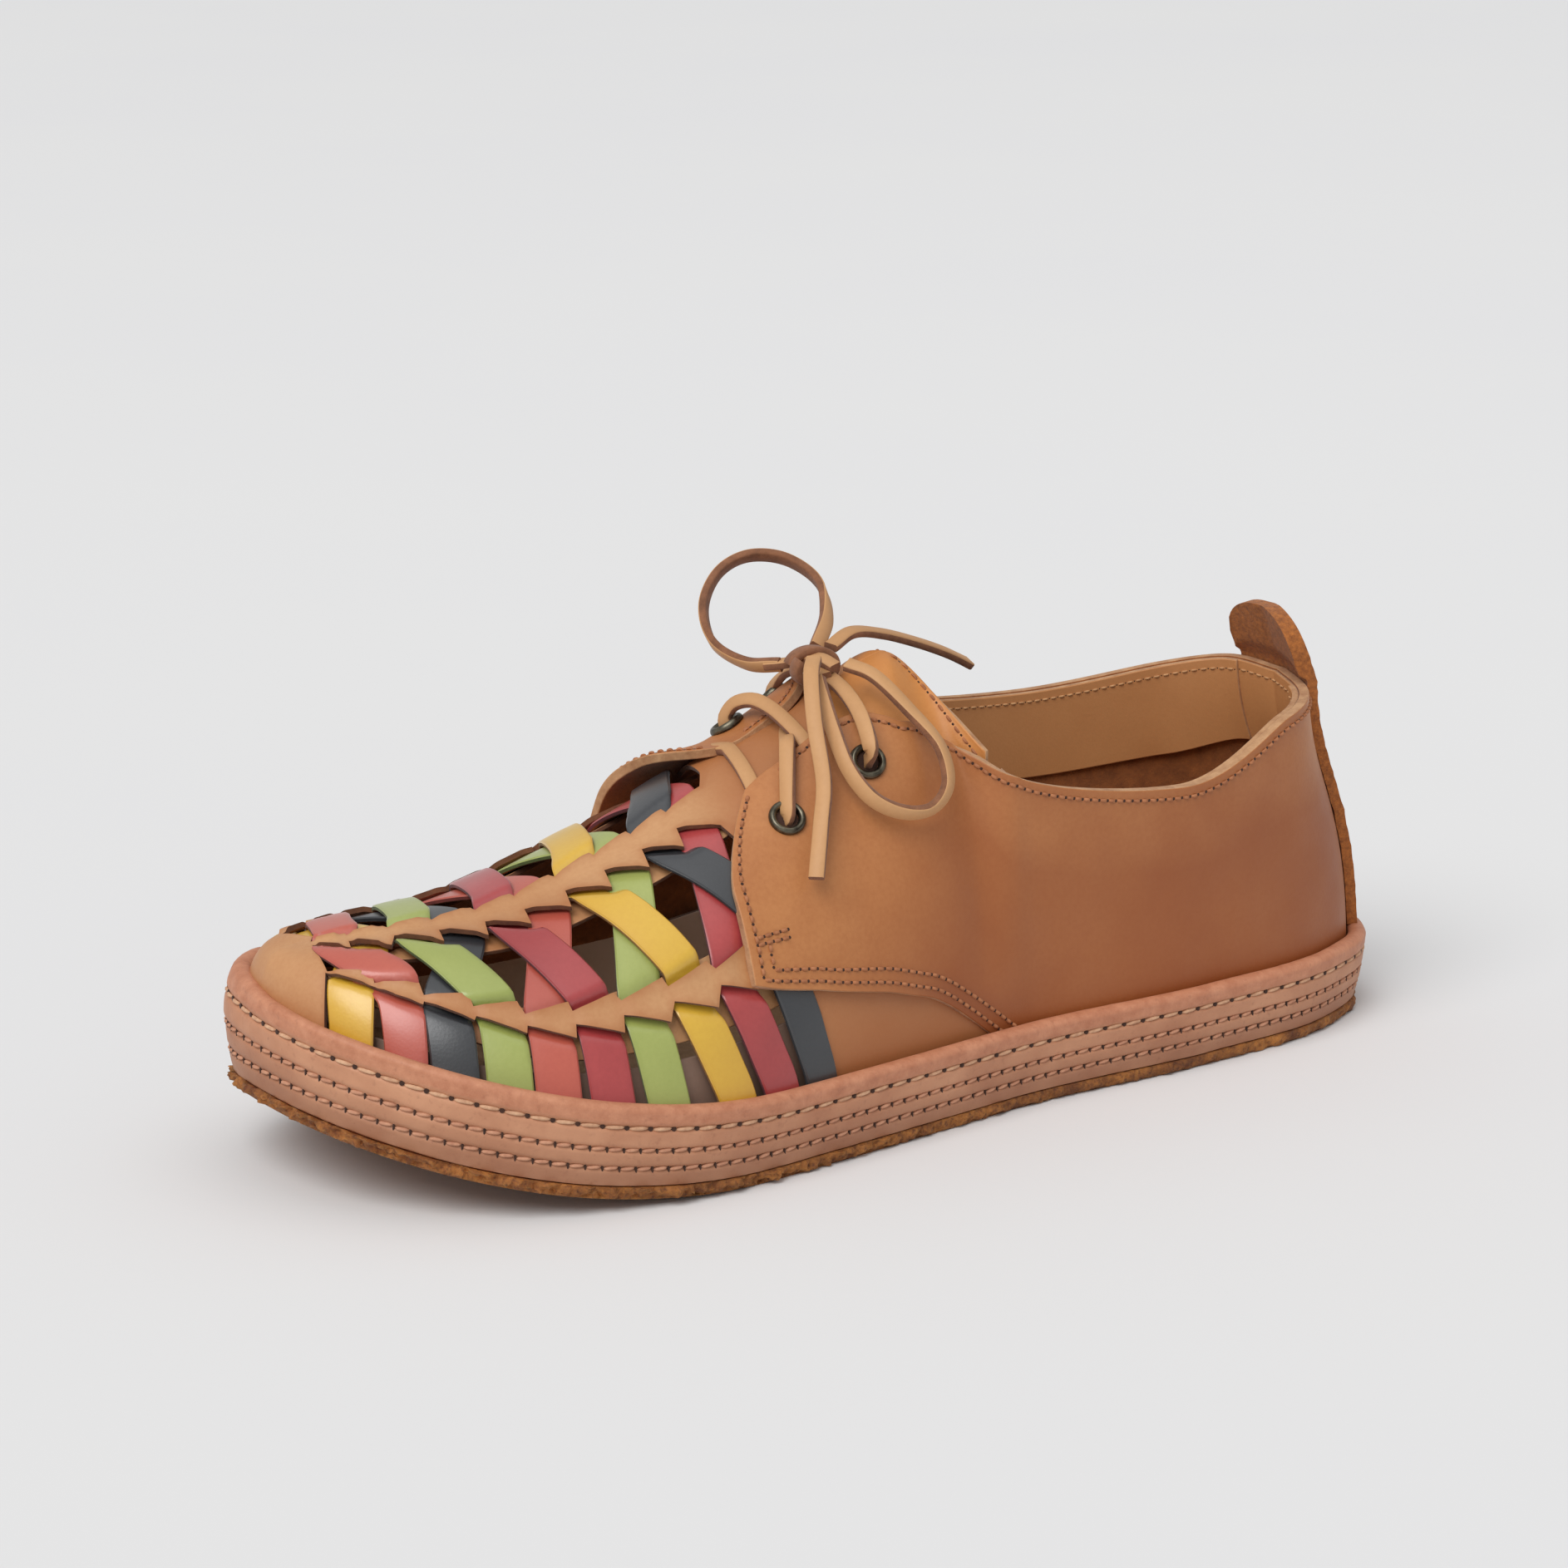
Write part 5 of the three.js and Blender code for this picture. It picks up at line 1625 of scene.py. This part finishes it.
# Eyelets and the laces through them
def eyelet_frame(spot):
    station, part = EYELETS[spot]
    side = SIDES[spot[0]]
    e = EYELET.step

    def at(ds, dv):
        s, v = np.array([station + ds]), np.array([part + dv])
        return skin(turn_at(s, side), v, quarter_offset(s, v, side) + QUARTER_THICKNESS)[0]

    x = at(e, 0) - at(-e, 0)
    y = at(0, e) - at(0, -e)
    axis = unit(np.cross(y, x)) * side
    first = unit(x - axis * (x @ axis))
    return at(0, 0), np.stack([first, np.cross(axis, first), axis])


def eyelet(name, centre, axes):
    hole, barrel = EYELET.hole, EYELET.barrel
    outer, depth = EYELET.outer, EYELET.depth
    half = (outer - hole) / 2
    turn = np.linspace(0, np.pi, EYELET.arc)
    ring = np.stack([hole + half + half * np.cos(turn), EYELET.seat + EYELET.rim * np.sin(turn)], -1)
    profile = np.concatenate([ring, [(hole, -depth), (barrel, -depth), (barrel, 0), (outer, EYELET.flange)]])
    angle = circle(EYELET.sides)[:, None]
    radius, rise = profile.T
    local = np.stack([np.cos(angle) * radius, np.sin(angle) * radius, rise + 0 * angle], -1)
    points = (local.reshape(-1, 3) @ axes) + centre
    faces = outward(points - centre, ring_faces(EYELET.sides, len(profile)))
    stand_for(make(f"rim_{name}", points, faces, [METAL], "metal"), name)
    # A dark disc in the eyelet: painted shade of its hole
    wide = 2 * hole + EYELET.dark
    stamp(f"dark_{name}", *dimple(wide, wide, EYELET.dark), centre[None, :], axes[None, :, :], HOLE_SHADE)


FRAMES = {spot: eyelet_frame(spot) for spot in EYELETS}
for (side_name, level), eyelet_place in FRAMES.items():
    eyelet(f"eyelet_{side_name}_{level}", *eyelet_place)


def through(spot, route):
    """A lace line that first comes out of an eyelet."""
    centre, axes = FRAMES[spot]
    return spline([centre - THROUGH.below * axes[2], centre + THROUGH.above * axes[2]] + route)


def crossings():
    for name, route in BARS.items():
        line = through((name, "lower"), route)
        thong(f"lace_bar_{name}", line, facing_from(line, UPWARD), "lace_bars")
    w = np.linspace(BAR_UNDER.start, BAR_UNDER.end, BAR_UNDER.points)
    line = spline(across(BAR_UNDER.station, w, BAR_UNDER.height))
    thong("lace_bar_under", line, np.tile(BAR_UNDER.facing, (len(line), 1)), "lace_bars")
    for name, route in RISERS.items():
        line = through((name, "upper"), route)
        thong(f"lace_riser_{name}", line, facing_from(line, UPWARD), "lace_knot")


def knot():
    """The wrap round the crossing thongs, and the thongs inside it."""
    angle = np.linspace(KNOT.start, 2 * np.pi + KNOT.lap, KNOT.points)
    spread = np.linspace(-KNOT.spread, KNOT.spread, len(angle))
    line = np.stack([KNOT.long * np.cos(angle), spread, KNOT.tall * np.sin(angle)], -1)
    facing = unit(np.stack([-np.cos(angle), 0 * angle, -np.sin(angle)], -1))
    thong("lace_wrap", line + KNOT.centre, facing, "lace_knot")
    for k, route in enumerate(KNOT_CORES):
        line = spline(route)
        thong(f"lace_core_{k}", line, np.tile(KNOT.facing, (len(line), 1)), "lace_knot")


crossings()
knot()


# Studio
def floor():
    mesh = bpy.data.meshes.new("floor")
    corners = [(-1, -1), (1, -1), (1, 1), (-1, 1)]
    mesh.from_pydata([(x * FLOOR_REACH, y * FLOOR_REACH, 0) for x, y in corners], [], [(0, 1, 2, 3)])
    mesh.materials.append(plain("floor", FLOOR_LOOK, Specular_IOR_Level=0))
    obj = bpy.data.objects.new("floor", mesh)
    bpy.context.scene.collection.objects.link(obj)


def light(name, kind, place, power):
    data = bpy.data.lights.new(name, kind)
    data.energy = power
    obj = bpy.data.objects.new(name, data)
    obj.location = place
    obj.rotation_euler = Vector(place).to_track_quat("Z", "Y").to_euler()
    bpy.context.scene.collection.objects.link(obj)
    return data


def studio():
    floor()
    key = light("key", "SUN", KEY.place, KEY.strength)
    key.angle = math.radians(KEY.softness)
    top = light("top", "AREA", TOP.place, TOP.power)
    top.shape = "DISK"
    top.size = TOP.size
    world = bpy.data.worlds.new("studio")
    world.use_nodes = True
    sky = world.node_tree.nodes["Background"]
    sky.inputs["Color"].default_value = (1, 1, 1, 1)
    sky.inputs["Strength"].default_value = SKY
    bpy.context.scene.world = world
    bpy.context.scene.view_settings.view_transform = "Standard"


studio()
